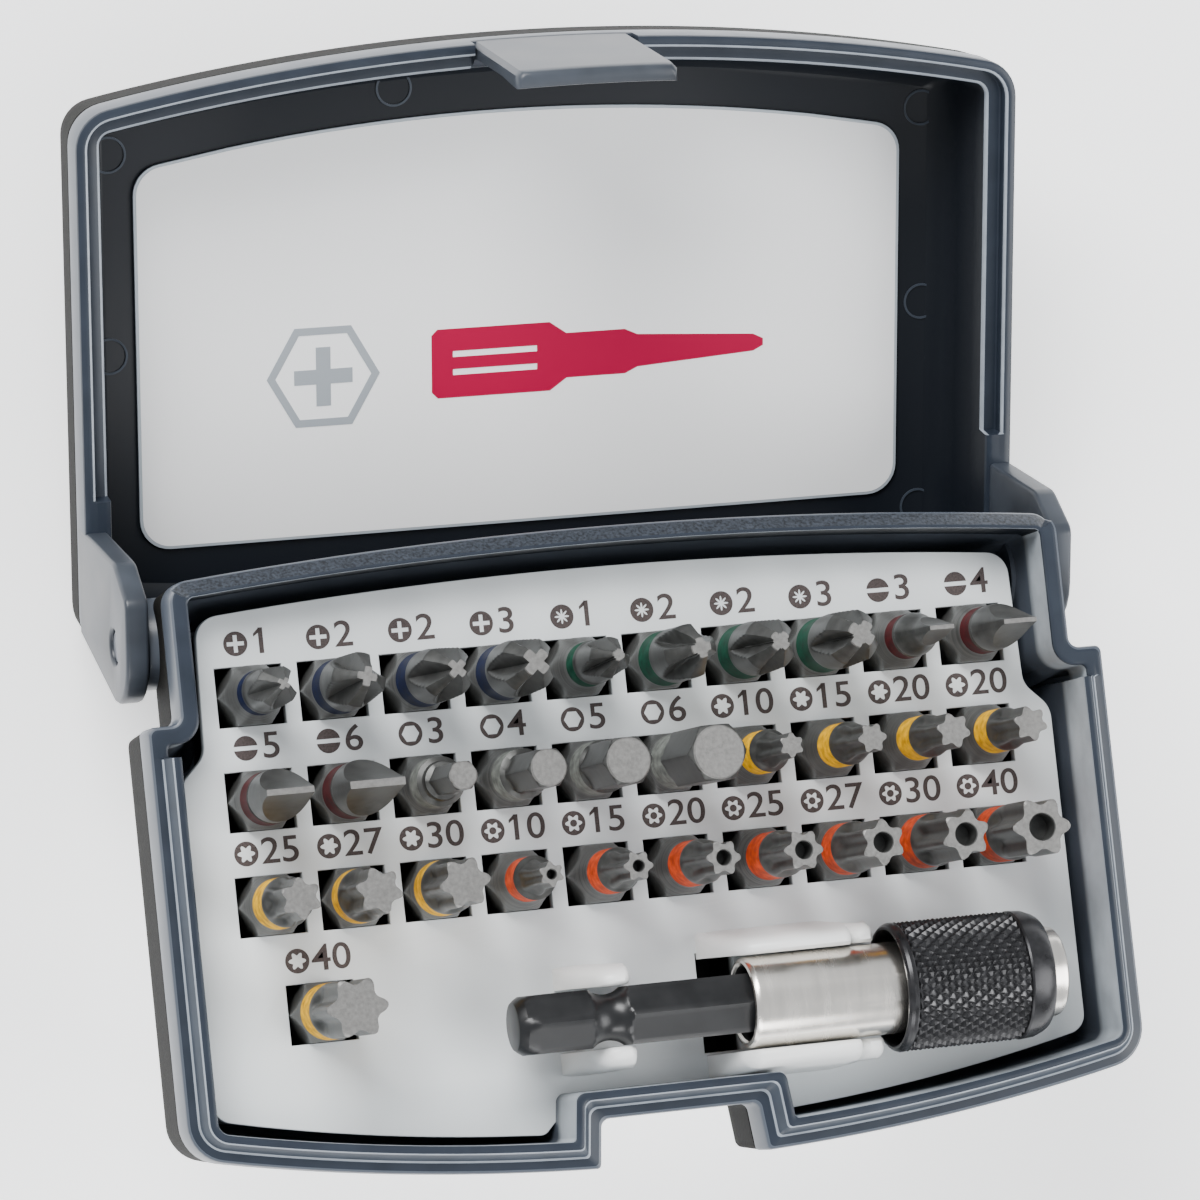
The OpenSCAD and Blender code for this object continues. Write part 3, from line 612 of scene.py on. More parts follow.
def ear(sign):
    """Arm beside the base's back part, with the hinge hole."""
    front_y = SHOULDER_Y + 0.3 - HINGE.y
    top = band_top - 0.8 - HINGE.z
    end_r, thick, proud = 6.2, 2.6, 0.04
    points = [(front_y, top, 0), (front_y, -0.6, 3.2), (-6.4, -end_r, 1.6), (0, -end_r, 0)]
    turns = [math.radians(d) for d in range(15, 100, 15)]
    points += [(end_r * math.sin(a), -end_r * math.cos(a), 0) for a in turns]
    points += [(2.8, top, 0)]
    upright = Matrix(((0, 0, 1, 0), (1, 0, 0, 0), (0, 1, 0, 0), (0, 0, 0, 1)))  # plate's plane to YZ
    matrix = at(sign * (HALF_W - thick / 2 + proud), HINGE.y, HINGE.z) @ upright
    hole = circle(0, 0, HINGE_HOLE_R)
    return plate("ear", rounded(points), thick, clear_painted_shade, matrix, [hole], 0.45, 3)


def tongue():
    """Latch tongue on the lid's front wall, from (z, outer depth, inner depth) sections."""
    rings = []
    end_z = BASE_H - 15.2
    sections = [(BASE_H + 4.2, 0.06, 2.9), (BASE_H + 2.4, 0.08, 2.9), (BASE_H + 1.5, 0.1, 1.9)]
    sections += [(BASE_H, 0.15, 1.75), (BASE_H - 9.12, 0.4, 1.95), (end_z + 1.4, 0.55, 2.4)]
    sections += [(end_z + 0.5, 0.62, 2.5), (end_z + 0.15, 0.8, 2.4), (end_z, 1.1, 2.1)]
    for z, outer, inner in sections:
        width = RECESS_HALF_W - 0.35 - max(0, end_z + 0.6 - z) * 0.7
        curve = [(x, -FRONT_Y + bow(x, FRONT_BOW)) for x in np.linspace(-width, width, 13)]
        ring = [(x, y + outer, z) for x, y in curve]
        ring[0] = (ring[0][0], ring[0][1] + 0.5, z)
        ring[-1] = (ring[-1][0], ring[-1][1] + 0.5, z)
        ring.insert(1, (-width + 0.5, curve[0][1] + outer, z))
        ring.insert(-1, (width - 0.5, curve[-1][1] + outer, z))
        ring += [(x, y + inner, z) for x, y in curve[::-1]]
        rings.append(ring)
    return skin("tongue", rings, [clear_painted_shade], sharp_deg=40)


def ceiling_mark(x, y):
    """Round ejector mark: a low ring on the inside of the lid's top."""
    outer, wall, bottom, buried = 2.1, 0.25, 32.98, 33.3
    steps = [(outer, buried), (outer, bottom), (outer - wall, bottom), (outer - wall, buried)]
    rings = [[(*q, z) for q in circle(x, y, r, 40)] for r, z in steps]
    return skin("ceiling_mark", rings, [clear_ledge])


mark_pairs = ((47.9, -22.5), (48.2, 0.3), (48, 24.8))  # one mark on each side of the lid
MARK_SPOTS = [(-15, -28.2)] + [(side * x, y) for x, y in mark_pairs for side in (-1, 1)]
lid_parts = [lid_clear, ear(-1), ear(1), tongue()] + [ceiling_mark(x, y) for x, y in MARK_SPOTS]
place(join("lid_clear_shell", lid_parts), "lid", "clear_case", "lid_shell")

edge = [(i, TOTAL_H - z) for i, z in edge_rings]
cover = edge + [(0.08, band_top + 0.35), (0.3, band_top + 0.1), (1.6, band_top + 0.1), (1.78, band_top + 0.3)]
cover += [(1.8, TOTAL_H - 6.1), (3.2, TOTAL_H - 5.9), (3.2, TOTAL_H - 3.3), (4.7, TOTAL_H - 3.1)]
cover += [(4.8, TOTAL_H - 1.5)]
rings = blend_rings(lid_outline, [cover], [np.ones(len(plan))])
place(skin("lid_grey_cover", rings, [cover_grey]), "lid", "case_cover", "lid_cover")

SHEET_Z = 32.9  # middle of the printed sheet in the shut lid
SHEET_HALF_W = 45.2
SHEET_BACK_Y = 22.9
SHEET_FRONT_Y = 25.2
SHEET_BOW = 227
MARK_THICK = 0.05


def sheet_outline(shrink):
    """Plan of the printed sheet: straight towards the hinge, bowed at the front."""
    half, back_y, front_y = SHEET_HALF_W - shrink, SHEET_BACK_Y - shrink, shrink - SHEET_FRONT_Y
    edge_y = front_y + bow(half, SHEET_BOW)
    r = 3.5 - shrink * 0.7
    points = [(half, back_y, r), (-half, back_y, r), (-half, edge_y, r)]
    points += [(x, front_y + bow(x, SHEET_BOW), 0) for x in np.linspace(-half, half, 26)[3:-3]]
    return rounded(points + [(half, edge_y, r)])


sheet = plate("label_sheet", sheet_outline(0), 0.36, sheet_edge, at(0, 0, SHEET_Z), edge=0.05)
face = plate("label_face", sheet_outline(0.35), 0.04, sheet_white, at(0, 0, SHEET_Z - 0.2))
place(join("label_sheet", [sheet, face]), "lid", "label_sheet", "label_panel")

# Generic marks on the sheet: a hexagon with a cross in it, and the side view of a bit.
ICON = (-23.7, 4.2)
mark_place = at(0, 0, SHEET_Z - 0.24)


def rect(x0, y0, x1, y1):
    """Rectangle, clockwise, so it serves as a hole."""
    return [(x0, y0), (x0, y1), (x1, y1), (x1, y0)]


def cross_outline(x, y, arm, half):
    """Upright cross with arms this long and this half width."""
    pts = [(half, half), (half, arm), (-half, arm), (-half, half), (-arm, half), (-arm, -half)]
    pts += [(-half, -half), (-half, -arm), (half, -arm), (half, -half), (arm, -half), (arm, half)]
    return [(x + a, y + b) for a, b in pts]


icon_hole = circle(*ICON, 5.6, 6)[::-1]
icon_ring = plate("icon", circle(*ICON, 6.6, 6), MARK_THICK, sheet_grey, mark_place, [icon_hole])
icon_cross = plate("icon_cross", cross_outline(*ICON, 3.4, 0.85), MARK_THICK, sheet_grey, mark_place)
place(join("label_icon", [icon_ring, icon_cross]), "lid", "label_grey")
bit_side = [(-11, 0.4), (-11, 7.0), (-10.3, 7.7), (3, 7.7), (5, 6.3), (12, 6.3), (13.5, 5.6)]
bit_side += [(27.5, 4.7), (28.7, 4.1), (28.7, 3.3), (27.5, 2.7), (13.5, 1.8), (12, 1.1), (5, 1.1)]
bit_side += [(3, -0.3), (-10.3, -0.3)]
slots = [rect(-8.5, y, 1.5, y + 0.7) for y in (2.3, 4.4)]
place(plate("label_bar", bit_side[::-1], MARK_THICK, sheet_red, mark_place, slots), "lid", "label_red")

# ---- tray --------

TRAY_BOW = 222  # radius of the tray's front edge


def tray_outline(inset):
    """Plan of the tray: the base's shape with a wider notch for the thumb recess."""
    w, wb = 50 - inset, 46.7 - inset
    yb, yf, ys = 30.4 - inset, 31.3 - inset, 13.4 - inset
    gap, gap_y = 13 + inset, -27.1 + inset
    side_y = -yf + bow(w, TRAY_BOW)
    edge_y = -yf + bow(gap, TRAY_BOW)
    back_edge = yb - bow(wb, BACK_BOW)
    return rounded(
        [(w, side_y, 2.2), (w, 10.6, 3.0), (wb + 0.4, ys, 2.6), (wb, back_edge, 2.6)]
        + bowed(wb - 3, -wb + 3, yb, BACK_BOW, 1)
        + [(-wb, back_edge, 2.6), (-wb - 0.4, ys, 2.6), (-w, 10.6, 3.0), (-w, side_y, 2.2)]
        + bowed(-w + 3, -gap - 2, yf, TRAY_BOW, -1)
        + [(-gap - 0.6, edge_y, 1.2), (-gap + 3.2, gap_y, 2.0)]
        + [(gap - 3.2, gap_y, 2.0), (gap + 0.6, edge_y, 1.2)]
        + bowed(gap + 2, w - 3, yf, TRAY_BOW, -1)
    )


# Rows of the bit table: name, drive, size across the tip, thickness of a blade or of a cross tip's
# end or the tamper hole's diameter, neck radius, turn of the tip in degrees, lean of the bit in its
# pocket in degrees, printed number.
BIT_TABLE = [
    ("ph1", "ph", 4.5, 0.6, 2.45, -10, 0, "1"),
    ("ph2_a", "ph", 5.9, 1.0, 3.0, -30, -0.5, "2"),
    ("ph2_b", "ph", 5.9, 1.0, 3.0, 0, 2.0, "2"),
    ("ph3", "ph", 6.2, 1.45, 3.05, 0, 0.4, "3"),
    ("pz1", "pz", 4.5, 0.6, 2.45, -30, 0.4, "1"),
    ("pz2_a", "pz", 5.9, 1.05, 3.0, 35, 0.8, "2"),
    ("pz2_b", "pz", 5.9, 1.05, 3.0, 0, 0, "2"),
    ("pz3", "pz", 6.2, 1.45, 3.05, -8, 0.4, "3"),
    ("sl3", "sl", 2.8, 0.45, 2.45, 0, 0.6, "3"),
    ("sl4", "sl", 3.8, 0.5, 2.6, 0, 0.3, "4"),
    ("sl5", "sl", 5.1, 0.65, 2.9, 0, -1.8, "5"),
    ("sl6", "sl", 6.0, 0.8, 3.0, 0, -0.7, "6"),
    ("hex3", "hex", 3.0, 0, 2.7, 0, 0, "3"),
    ("hex4", "hex", 4.0, 0, 2.75, 0, 1.0, "4"),
    ("hex5", "hex", 5.0, 0, 2.9, 0, 0, "5"),
    ("hex6", "hex", 6.0, 0, 3.0, 0, 3.6, "6"),
    ("t10", "torx", 2.8, 0, 2.35, 28, 0, "10"),
    ("t15", "torx", 3.35, 0, 2.4, 2, 0.2, "15"),
    ("t20_a", "torx", 3.95, 0, 2.4, -15, 0.8, "20"),
    ("t20_b", "torx", 3.95, 0, 2.4, -17, 0, "20"),
    ("t25", "torx", 4.5, 0, 2.75, -27, -1.8, "25"),
    ("t27", "torx", 5.1, 0, 2.95, -15, -4.2, "27"),
    ("t30", "torx", 5.6, 0, 3.0, 6, -3.5, "30"),
    ("th10", "tamper", 2.8, 1.0, 2.4, -25, -2.4, "10"),
    ("th15", "tamper", 3.35, 1.2, 2.45, -3, -0.6, "15"),
    ("th20", "tamper", 3.95, 1.6, 2.5, -4, 0.8, "20"),
    ("th25", "tamper", 4.5, 1.9, 2.6, -3, 0.4, "25"),
    ("th27", "tamper", 5.1, 2.15, 2.85, 28, 0, "27"),
    ("th30", "tamper", 5.6, 2.45, 2.95, 17, 1.3, "30"),
    ("th40", "tamper", 6.75, 2.9, 3.1, -2, 0, "40"),
    ("t40", "torx", 6.75, 0, 3.05, 1, 0, "40"),
]
centres = {}
for row in BIT_TABLE:
    low_corner, high_corner = box_mm("bit_" + row[0])
    centres[row[0]] = ((low_corner.x + high_corner.x) / 2, (low_corner.y + high_corner.y) / 2, low_corner.z)



def pockets(half_x, half_y=3.24):
    """Rectangular hole under every bit."""
    return [rect(x - half_x, y - half_y, x + half_x, y + half_y) for x, y, _ in centres.values()]


# The tray is a top plate, a hidden skirt with room for the leaning bits, and a floor under them.
windows = [rect(5.4, -16.4, 9.7, -12.95), rect(5.4, -23.9, 9.7, -20.4)]
top_holes = pockets(3.73) + windows
top_plate = plate("tray_top", tray_outline(0), 1.4, tray_body, at(0, 0, TRAY_Z - 0.7), top_holes, 0.12, 2)
skirt = plate("tray_skirt", tray_outline(0.9), 7.6, tray_body, at(0, 0, 7.8), pockets(4.42) + windows)
floor_plate = plate("tray_floor", tray_outline(1.2), 1.05, tray_body, at(0, 0, 3.45))


def cheek(stations, side):
    """Springy cheek of a clip, lofted along X.
    stations are (x, inner gap, bulge, height, outer foot)."""
    rings = []
    for x, gap, bulge, height, foot in stations:
        top = TRAY_Z - 0.3 + height
        shape = [(gap, TRAY_Z - 0.4), (gap, top - 0.55 * height), (gap - bulge * 0.6, top - 0.3 * height)]
        shape += [(gap - bulge, top - 0.16 * height), (gap - bulge * 0.7, top - 0.04 * height)]
        shape += [(gap + 0.3, top), (gap + 1.0, top - 0.02 * height), (gap + 1.6, top - 0.1 * height)]
        shape += [(gap + 2.1, top - 0.3 * height)]
        shape += [(gap + 0.6 * foot + 0.8, top - 0.6 * height), (gap + foot, TRAY_Z - 0.4)]
        rings.append([(x, AXIS_Y + side * y, z) for y, z in shape])
    return skin("cheek", rings, [tray_clips_painted_light], sharp_deg=50)


# Stations of the big clip round the tube, of the tab at its end and of the small clip round the shank.
big_clip = [(5.6, 5.3, 0, 0.6, 3.0), (6.2, 5.3, 0, 3.2, 3.0), (7.4, 5.25, 0.05, 7.4, 3.0)]
big_clip += [(8.2, 5.25, 0.1, 9.4, 3.0), (9.0, 5.25, 0.12, 10.2, 3.0), (19.6, 5.25, 0.12, 10.3, 3.0)]
big_clip += [(20.3, 5.25, 0.1, 9.9, 2.9), (20.8, 5.35, 0, 8.6, 2.7), (20.9, 5.6, 0, 7.6, 2.4)]
clip_tab = [(20.9, 5.35, 0, 5.6, 2.1), (21.2, 5.3, 0.05, 7.8, 2.3), (21.8, 5.3, 0.05, 8.6, 2.4)]
clip_tab += [(23.0, 5.3, 0.05, 8.6, 2.4), (23.5, 5.35, 0, 7.9, 2.3), (23.7, 5.5, 0, 6.6, 2.0)]
small_clip = [(-11.0, 3.45, 0, 0.8, 2.6), (-10.2, 3.45, 0, 3.2, 2.6), (-8.4, 3.45, 0.1, 7.0, 2.6)]
small_clip += [(-7.4, 3.45, 0.2, 8.6, 2.6), (-5.4, 3.45, 0.2, 8.9, 2.5), (-4.8, 3.5, 0.1, 8.3, 2.4)]
small_clip += [(-4.4, 3.6, 0, 7.2, 2.2)]
clips = [cheek(stations, side) for side in (-1, 1) for stations in (big_clip, clip_tab, small_clip)]
place(join("tray", [top_plate, skirt, floor_plate] + clips), "base", "tray_plastic", "bit_tray")


# Printed marks: a disc with the drive's shape in it, then the size.
PRINT_THICK = 0.03
PRINT_PLACE = at(0, 0, TRAY_Z + 0.01)


def printed(outline, *holes):
    """Printed patch on the tray."""
    return plate("mark", outline, PRINT_THICK, print_ink, PRINT_PLACE, holes)


def star_outline(x, y, big, small, lobes=6, steps=60):
    """Lobed outline between two radii."""
    mean, swing = (big + small) / 2, (big - small) / 2
    polar = [(mean + swing * math.cos(lobes * t), t) for t in around(steps)]
    return [(x + r * math.cos(t), y + r * math.sin(t)) for r, t in polar]


def disc_half(x, y, r, side):
    """Part of a disc on one side of a slot."""
    turns = [math.radians(a) for a in range(10, 171, 10)]
    return [(x + r * math.cos(t), y + side * r * math.sin(t)) for t in turns]


def drive_symbol(kind, x, y):
    """Disc that shows the drive's shape as a hole."""
    r = 1.34
    holes = {
        "ph": cross_outline(x, y, 0.95, 0.22),
        "pz": star_outline(x, y, 0.84, 0.28, 8, 64),
        "hex": circle(x, y, 0.98, 6),
        "torx": star_outline(x, y, 0.98, 0.6),
        "tamper": star_outline(x, y, 0.98, 0.62),
    }
    if kind == "sl":
        return [printed(disc_half(x, y, r, side)) for side in (1, -1)]
    parts = [printed(circle(x, y, r, 40), holes[kind][::-1])]
    if kind == "tamper":
        parts.append(printed(circle(x, y, 0.4, 20)))
    return parts


def number(text, x, y):
    """Printed size, 2.9 mm tall; a one gets a flag."""
    data = bpy.data.curves.new("number", "FONT")
    data.body = text
    data.size = 4.0 * MM
    data.align_x = "CENTER"
    data.align_y = "CENTER"
    data.extrude = PRINT_THICK / 2 * MM
    data.offset = 0.03 * MM
    stretch = Matrix.Diagonal((1.12, 1, 1, 1))
    obj = from_curve("number", data, print_ink, at(x, y, 0) @ PRINT_PLACE @ stretch)
    if text[0] != "1":
        return [obj]
    left = min(v.co.x for v in obj.data.vertices) / MM
    top = max(v.co.y for v in obj.data.vertices) / MM
    flag = [(left + 0.1, top), (left + 0.1, top - 0.5), (left - 0.55, top - 0.95), (left - 0.55, top - 0.6)]
    return [obj, printed(flag[::-1])]


MARK_Y = 5.75  # the marks stand this far behind each bit
marks = []
for name, kind, *_, text in BIT_TABLE:
    x, y, _ = centres[name]
    symbol_x, number_x = (-2.2, 1.6) if len(text) == 2 else (-1.1, 1.75)
    marks += drive_symbol(kind, x + symbol_x, y + MARK_Y)
    marks += number(text, x + number_x, y + MARK_Y)
place(join("tray_marks", marks), "base", "tray_print")

# ---- bits --------

SHANK_TOP = 10.0
LENGTH = 25.0
SIDES = 96
shank_radius = hexagon(HEX_FLATS)


def smooth(a, b, x):
    """Smooth step from 0 at a to 1 at b."""
    t = max(0.0, min(1.0, (x - a) / (b - a)))
    return t * t * (3 - 2 * t)


def cross_radius(kind, across, flat, neck, s, t):
    """Cross tip: a cone with four V-shaped flutes; Pozidriv has a thin rib in each flute."""
    down = LENGTH - s
    body = min(across / 2, flat + 0.48 * down)
    body += (neck - across / 2) * (1 - smooth(14.5, 16.5, s))
    root = 0.55 * flat + 0.12 * down + 0.0019 * down ** 3
    away = abs((t + math.pi / 4) % (math.pi / 2) - math.pi / 4)
    half = math.radians(46 if kind == "ph" else 41)
    wall = math.cos(away) - math.sin(away) / math.tan(half)
    flute = root / wall if wall > 0.05 else 20 * root
    if kind == "pz" and down < 6.5:
        flute = max(flute, root + 0.3 - 0.02 * down - 1.6 * abs(away) * root)
    return min(body, flute)


def star_radius(across, t):
    """Radius round a six-lobe section."""
    big, small = across / 2, 0.71 * across / 2
    return small + (big - small) * ((1 + math.cos(6 * t)) / 2) ** 1.35


def lobed_radius(across, neck, band_end, s, t):
    """Six-lobed tip: flutes that run out into the neck above the painted band."""
    run = 3.4 if across > 4.2 else 4.2
    core = across / 2
    shoulder = min(neck, core + 0.55) if neck > core + 0.5 else neck
    envelope = neck + (shoulder - neck) * smooth(band_end, band_end + 0.7, s)
    envelope += (core - shoulder) * smooth(band_end + 0.5, band_end + run, s)
    depth = smooth(band_end, band_end + (2.2 if core > neck else 1.8), s)
    radius = envelope - depth * (core - star_radius(across, t))
    return min(radius, core * 0.9 + 1.6 * (LENGTH - s))


def hex_tip_radius(across, neck, band_end, s, t):
    """Hexagonal tip rising from the neck, with a cone cut across its end."""
    corner = across / math.sqrt(3)
    tip = min(hexagon(across)(t), corner * 0.985)
    tip = min(tip, across / 2 * 0.92 + (LENGTH - s) * 0.9)
    collar = 2.05 if across < 3.5 and s < 16.8 else 0
    cone = neck - max(0, s - band_end) * 1.6
    return max(min(tip, max(neck, corner)), min(neck, cone), collar)


def blade_ring(half_width, half_thick, r, s):
    """Outline of a disc cut to a blade's width and thickness, with its corners kept."""
    if half_width ** 2 + half_thick ** 2 <= r * r:
        low_turn = high_turn = math.atan2(half_thick, half_width)
    else:
        low_turn = math.acos(min(1, half_width / r))
        high_turn = math.asin(min(1, half_thick / r))
    first = [low_turn * (k / 6) for k in range(6)]
    middle = [low_turn + (high_turn - low_turn) * k / 8 for k in range(8)]
    last = [high_turn + (math.pi / 2 - high_turn) * k / 8 for k in range(9)]
    quarter = first + middle + last
    turns = quarter + [math.pi - a for a in quarter[-2::-1]]
    turns += [math.pi + a for a in quarter[1:]] + [2 * math.pi - a for a in quarter[-2:0:-1]]
    ring = []
    for a in turns:
        cos_a, sin_a = max(abs(math.cos(a)), 1e-9), max(abs(math.sin(a)), 1e-9)
        rr = min(r, half_width / cos_a, half_thick / sin_a)
        ring.append((rr * math.cos(a), rr * math.sin(a), s))
    return ring


def bit_rings(kind, across, extra, neck, turn):
    """Rings up a bit and the material of each step: 0 shank, 1 band, 2 tip, 3 bright end, 4 hole."""
    rings, mats = [], []
    angles = around(SIDES)
    if kind == "sl":
        angles = [math.atan2(p[1], p[0]) for p in blade_ring(2.4, 2.0, 3.0, 0)]

    def add(s, radius, mat):
        rings.append([(radius(t) * math.cos(t), radius(t) * math.sin(t), s) for t in angles])
        mats.append(mat)

    def capped(limit):
        return lambda t: min(shank_radius(t), limit)

    band_start = SHANK_TOP + (HEX_CORNER - neck) * 2.6
    band_end = {"ph": 15.4, "pz": 15.6, "sl": 15.6, "hex": 15.6}.get(kind, 17.2 if neck < 2.8 else 15.5)
    for s, r in ((0, 2.9), (0.5, 3.35), (0.9, HEX_CORNER), (SHANK_TOP, HEX_CORNER)):
        add(s, capped(r), 0)
    for k in range(1, 7):
        r = HEX_CORNER + (neck - HEX_CORNER) * k / 6
        add(SHANK_TOP + (band_start - SHANK_TOP) * k / 6, capped(r), 0)
    mats[-1] = 1
    add(band_end, lambda t: neck, 2)
    if kind == "sl":
        add(band_end + 0.25, lambda t: neck - 0.2, 2)
        for k in range(1, 33):
            s = band_end + 0.25 + (LENGTH - band_end - 0.25) * k / 32
            down = LENGTH - s
            thick = extra / 2 + 0.14 * down + 0.03 * down * down
            shoulder = smooth(4.5, 8.8, down) if across < 3 else smooth(2.0, 8.5, down)
            width = across / 2 + max(0.0, neck - 0.2 - across / 2) * shoulder
            width += 0.05 * min(down, 3)
            rings.append(blade_ring(min(width, neck), thick, max(min(width, neck), across / 2) + 0.02, s))
            mats.append(2)
    else:
        def tip(s):
            if kind in ("ph", "pz"):
                return lambda t: cross_radius(kind, across, extra, neck, s, t + turn)
            if kind == "hex":
                return lambda t: hex_tip_radius(across, neck, band_end, s, t)
            return lambda t: lobed_radius(across, neck, band_end, s, t - turn)

        for k in range(1, 44):
            s = band_end + (LENGTH - band_end) * (k / 44) ** 0.9
            add(s, tip(s), 2)
        for s in (LENGTH - 0.06, LENGTH):
            add(s, tip(s), 3)
        mats[-3] = 3
    mats[-1] = 3
    if kind == "tamper":
        hole = extra / 2
        add(LENGTH, lambda t: hole + 0.1, 4)
        add(LENGTH - 0.1, lambda t: hole, 4)
        add(LENGTH - 2.6, lambda t: hole, 4)
    mats.append(mats[-1])
    return rings, mats


for name, kind, across, extra, neck, turn, lean, _ in BIT_TABLE:
    x, y, z = centres[name]
    rings, mats = bit_rings(kind, across, extra, neck, math.radians(turn))
    tilt = Matrix.Rotation(math.radians(lean), 3, "Y")
    mouth = Vector((x, y, TRAY_Z))
    rings = [[mouth + tilt @ (Vector(q) + Vector((0, 0, z - TRAY_Z))) for q in ring] for ring in rings]
    order = [bit_grey, band_paint[kind], bit_flat, bit_bright, bit_flat]
    obj = skin(name, rings, order, mats, 28)
    place(obj, "bit_" + name, "bit_steel", "bit_" + name)

# ---- bit holder --------

rod_x = shank_low.x
hex_rod = hexagon(HEX_FLATS)


def rod(limit):
    """Hexagon with its corners turned down to a radius."""
    return lambda t: min(hex_rod(t), limit)


def groove(x):
    """Radius left by the round-bottomed detent groove."""
    off = abs(x - rod_x - 10.5)
    return 5.4 - math.sqrt(max(0.0, 2.9 ** 2 - off ** 2)) if off < 2.3 else 9.0


# The rod: a bevelled end, a plain length, the detent groove, and on into the tube.
bevel = [(0, 2.3), (0.1, 2.6), (0.45, 2.9), (1.0, 3.25), (1.6, 3.5), (2.4, 3.68), (8.1, 3.68)]
profile = [(rod_x + x, rod(r)) for x, r in bevel]
profile += [(rod_x + x, rod(groove(rod_x + x))) for x in np.linspace(8.25, 12.75, 19)]
profile += [(rod_x + 12.9, rod(3.68)), (shank_high.x, rod(3.68))]
shank = lathe("holder_shank_rod", profile, [oxide_black], sharp_deg=24)
place(shank, "holder", "black_steel", "holder_shank")

tube_from, tube_to = tube_low.x, tube_high.x
BALL_X = sum(v.x for v in box_mm("lock_ball")) / 2
BALL_HOLE_R = 1.3
LAND_X = (33.6, 35.2)  # ends of the narrow land that holds the ball in
CONE_X = 30.5
socket = hexagon(6.5)
shank_end = [(10, 1.0), (10, 3.72), (0.9, 3.74), (0.3, 4.1), (0.05, 4.3), (0, 4.45), (0.08, 4.75)]
shank_end += [(0.35, 4.95), (0.7, 5.0)]
nose = [(0.8, 5.0), (0.3, 4.85), (0.05, 4.55), (0, 4.3), (0, 3.95)]
nose += [(0.4, lambda t: min(3.8, socket(t) + 0.1)), (0.8, socket), (15, socket), (15, 1.0)]
profile = [(tube_from + x, r) for x, r in shank_end] + [(tube_to - x, r) for x, r in nose]
# Painted shade: material 1 darkens the insides of the shank's hole and the socket, and the drill gives it to
# the ball hole too.
tube_mats = [1] * 3 + [0] * 12 + [1] * 4  # dark inside the shank's hole and the socket
tube = lathe("holder_tube_body", profile, [nickel, hole_painted_shade], tube_mats)
bore = circle(BALL_X, AXIS_Y, BALL_HOLE_R, SIDES)
drill = skin("drill", [[(x, y, AXIS_Z + z) for x, y in bore] for z in (1, 8)], [hole_painted_shade])
cut = tube.modifiers.new("ball_hole", "BOOLEAN")
cut.object = drill
cut.operation = "DIFFERENCE"
cut.solver = "EXACT"
tube.data = mesh_of(tube)
tube.modifiers.clear()
bpy.data.objects.remove(drill)
soften(tube)
place(tube, "holder", "nickel", "holder_tube")

sleeve_from, sleeve_to = sleeve_low.x, sleeve_high.x
SLEEVE_R = (sleeve_high.z - sleeve_low.z) / 2
SLEEVE_BORE_R = 6.3
LAND_R = 5.05
KNURL_DEEP = 0.45
TEETH = 36
PITCH = 1.5
knurl_from, knurl_to = sleeve_from + 1.35, sleeve_from + 14.1


def knurl(x):
    """Radius round the sleeve at x, raised in diamonds between the two smooth bands."""
    def radius(t):
        u = (TEETH * t / (2 * math.pi) + x / PITCH) % 1
        v = (TEETH * t / (2 * math.pi) - x / PITCH) % 1
        height = 1 - max(abs(2 * u - 1), abs(2 * v - 1))
        return SLEEVE_R - KNURL_DEEP + KNURL_DEEP * min(1, height * 1.1)
    return radius


# From the land along the bore to the tube's side, over the outside to the nose, and back to the land.
cone_r = LAND_R + 0.3 * (LAND_X[0] - CONE_X)
profile = [(LAND_X[0], LAND_R), (CONE_X, cone_r), (CONE_X, SLEEVE_BORE_R)]
profile += [(sleeve_from + 0.2, SLEEVE_BORE_R), (sleeve_from, 6.45), (sleeve_from + 0.02, 6.7)]
first_band = [(0.25, 0.15), (0.6, 0), (0.95, 0), (1.15, 0.12), (1.25, 0.4)]
second_band = [(14.2, 0.4), (14.3, 0.12), (14.5, 0), (15.9, 0.12)]
nose_end = [(0.95, 0.5), (0.6, 0.72), (0.5, 0.8)]
profile += [(sleeve_from + x, SLEEVE_R - deep) for x, deep in first_band]
knurl_step = PITCH / 10
rows = int((knurl_to - knurl_from) / knurl_step)
profile += [(x, knurl(x)) for x in [knurl_from + k * knurl_step for k in range(rows + 1)]]
profile += [(sleeve_from + x, SLEEVE_R - deep) for x, deep in second_band]
profile += [(sleeve_to - x, SLEEVE_R - deep) for x, deep in nose_end]
profile += [(sleeve_to - 0.55, 6.32), (sleeve_to - 0.7, SLEEVE_BORE_R)]
profile += [(LAND_X[1], SLEEVE_BORE_R), (LAND_X[1], LAND_R)]
sleeve = lathe("holder_knurled_sleeve", profile, [knurl_black], steps=TEETH * 8, sharp_deg=20)
place(sleeve, "sleeve", "black_steel", "holder_sleeve")

# Pieces shown as they are in the CAD, with a look of their own.
CAD_LOOKS = {
    "sleeve_spring": ring_steel,
    "sleeve_stop_ring": oxide_black,
    "spring_stop_ring": oxide_black,
    "lock_ball": ring_steel,
    "holder_magnet": nickel,
}
for node, mat in CAD_LOOKS.items():
    mesh = frame["nodes"][node].data
    mesh.materials.clear()
    mesh.materials.append(mat)

# ---- stage, light and camera --------

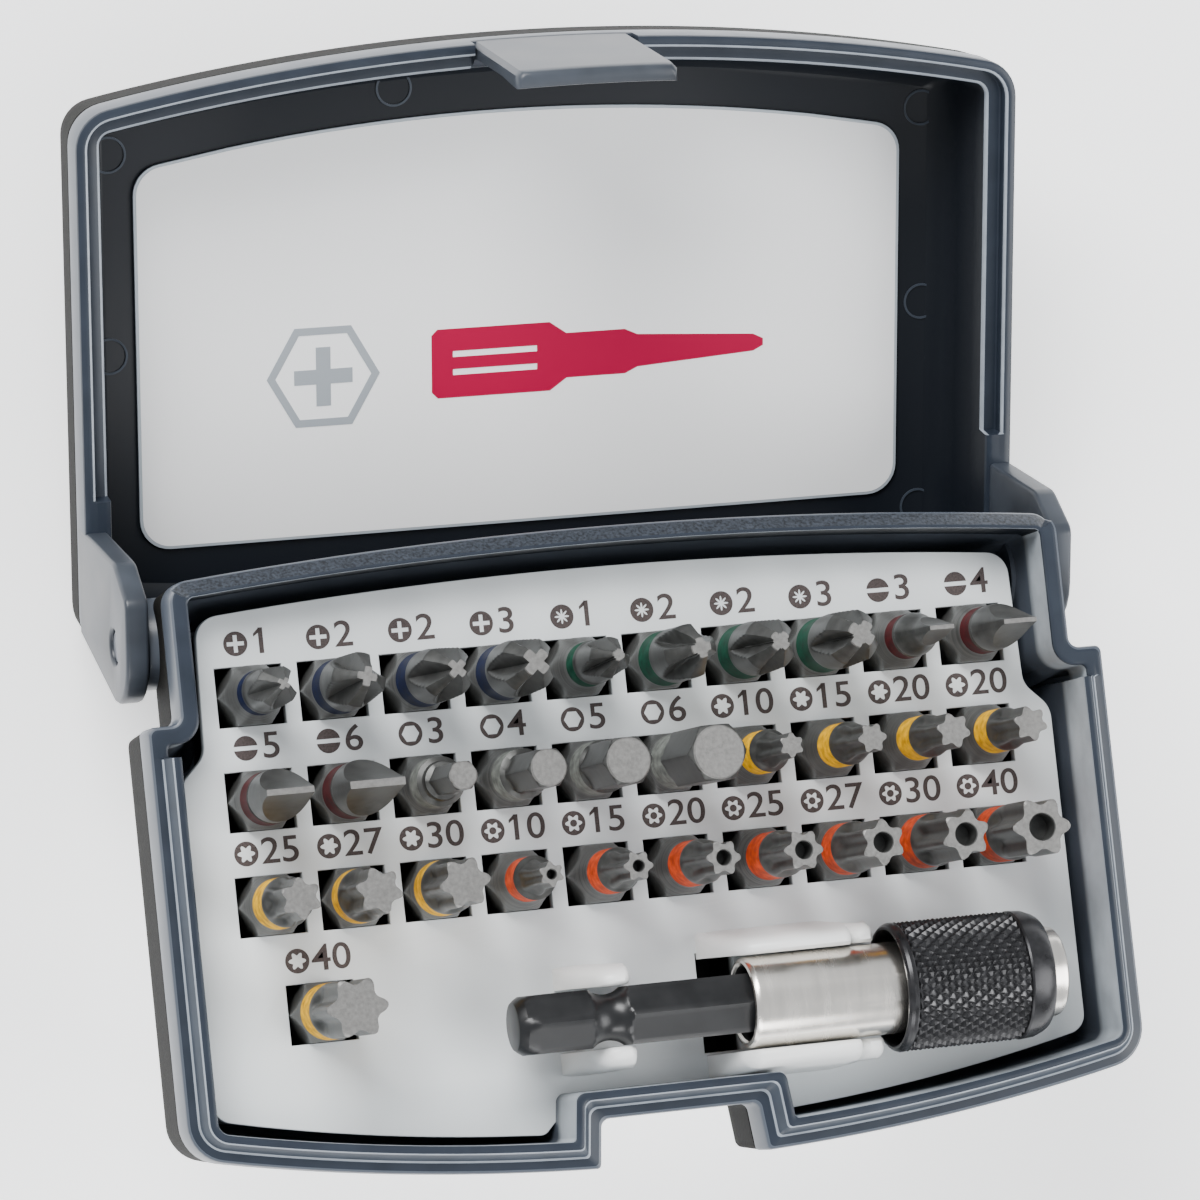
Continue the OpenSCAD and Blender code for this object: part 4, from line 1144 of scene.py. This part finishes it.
floor_z = cad_bounds[0].z
paper = principled("paper", (0.93, 0.935, 0.94), 0.8, Emission_Color=(1, 1, 1, 1), Emission_Strength=0.75)
floor = bpy.data.objects.new("floor", bpy.data.meshes.new("floor"))
floor_corners = [(x, y, floor_z) for x, y in ((-4, -4), (4, -4), (4, 4), (-4, 4))]
floor.data.from_pydata(floor_corners, [], [(0, 1, 2, 3)])
floor.data.materials.append(paper)
COL.objects.link(floor)
# A step under the base, because the open lid hangs lower.
step_plan = [(-40, -26), (40, -26), (40, 12), (-40, 12)]
riser = skin("riser", [[(x, y, z) for x, y in step_plan] for z in (floor_z / MM, 0)], [paper])

world = bpy.data.worlds.new("studio")
world.use_nodes = True
world.node_tree.nodes["Background"].inputs["Color"].default_value = (0.93, 0.96, 1, 1)
world.node_tree.nodes["Background"].inputs["Strength"].default_value = 0.72
bpy.context.scene.world = world


def lamp(name, place_at, size, watts):
    """Rectangular area lamp aimed at the object."""
    data = bpy.data.lights.new(name, "AREA")
    data.shape = "RECTANGLE"
    data.size, data.size_y = size
    data.energy = watts
    obj = bpy.data.objects.new(name, data)
    obj.location = place_at
    obj.rotation_euler = (LAMP_TARGET - Vector(place_at)).to_track_quat("-Z", "Y").to_euler()
    COL.objects.link(obj)


LAMP_TARGET = Vector((0, 0, 0.01))
lamp("key", (-0.32, 0.5, 0.6), (0.5, 0.35), 11)
lamp("fill", (0.6, -0.2, 0.5), (0.5, 0.5), 6)
lamp("front", (-0.1, -0.7, 0.35), (0.6, 0.25), 4)

CAMERA_AT = Vector((-0.1892, -0.0202, 0.6353))
CAMERA_TARGET = Vector((-0.00024, 0.02689, 0.01))
CAMERA_ROLL = math.radians(70.63)
camera_data = bpy.data.cameras.new("camera")
camera_data.lens = 178.1
camera_data.clip_end = 20
camera = bpy.data.objects.new("camera", camera_data)
level = (CAMERA_TARGET - CAMERA_AT).to_track_quat("-Z", "Y").to_matrix().to_4x4()
level.translation = CAMERA_AT
camera.matrix_world = level @ Matrix.Rotation(CAMERA_ROLL, 4, "Z")
COL.objects.link(camera)
bpy.context.scene.camera = camera
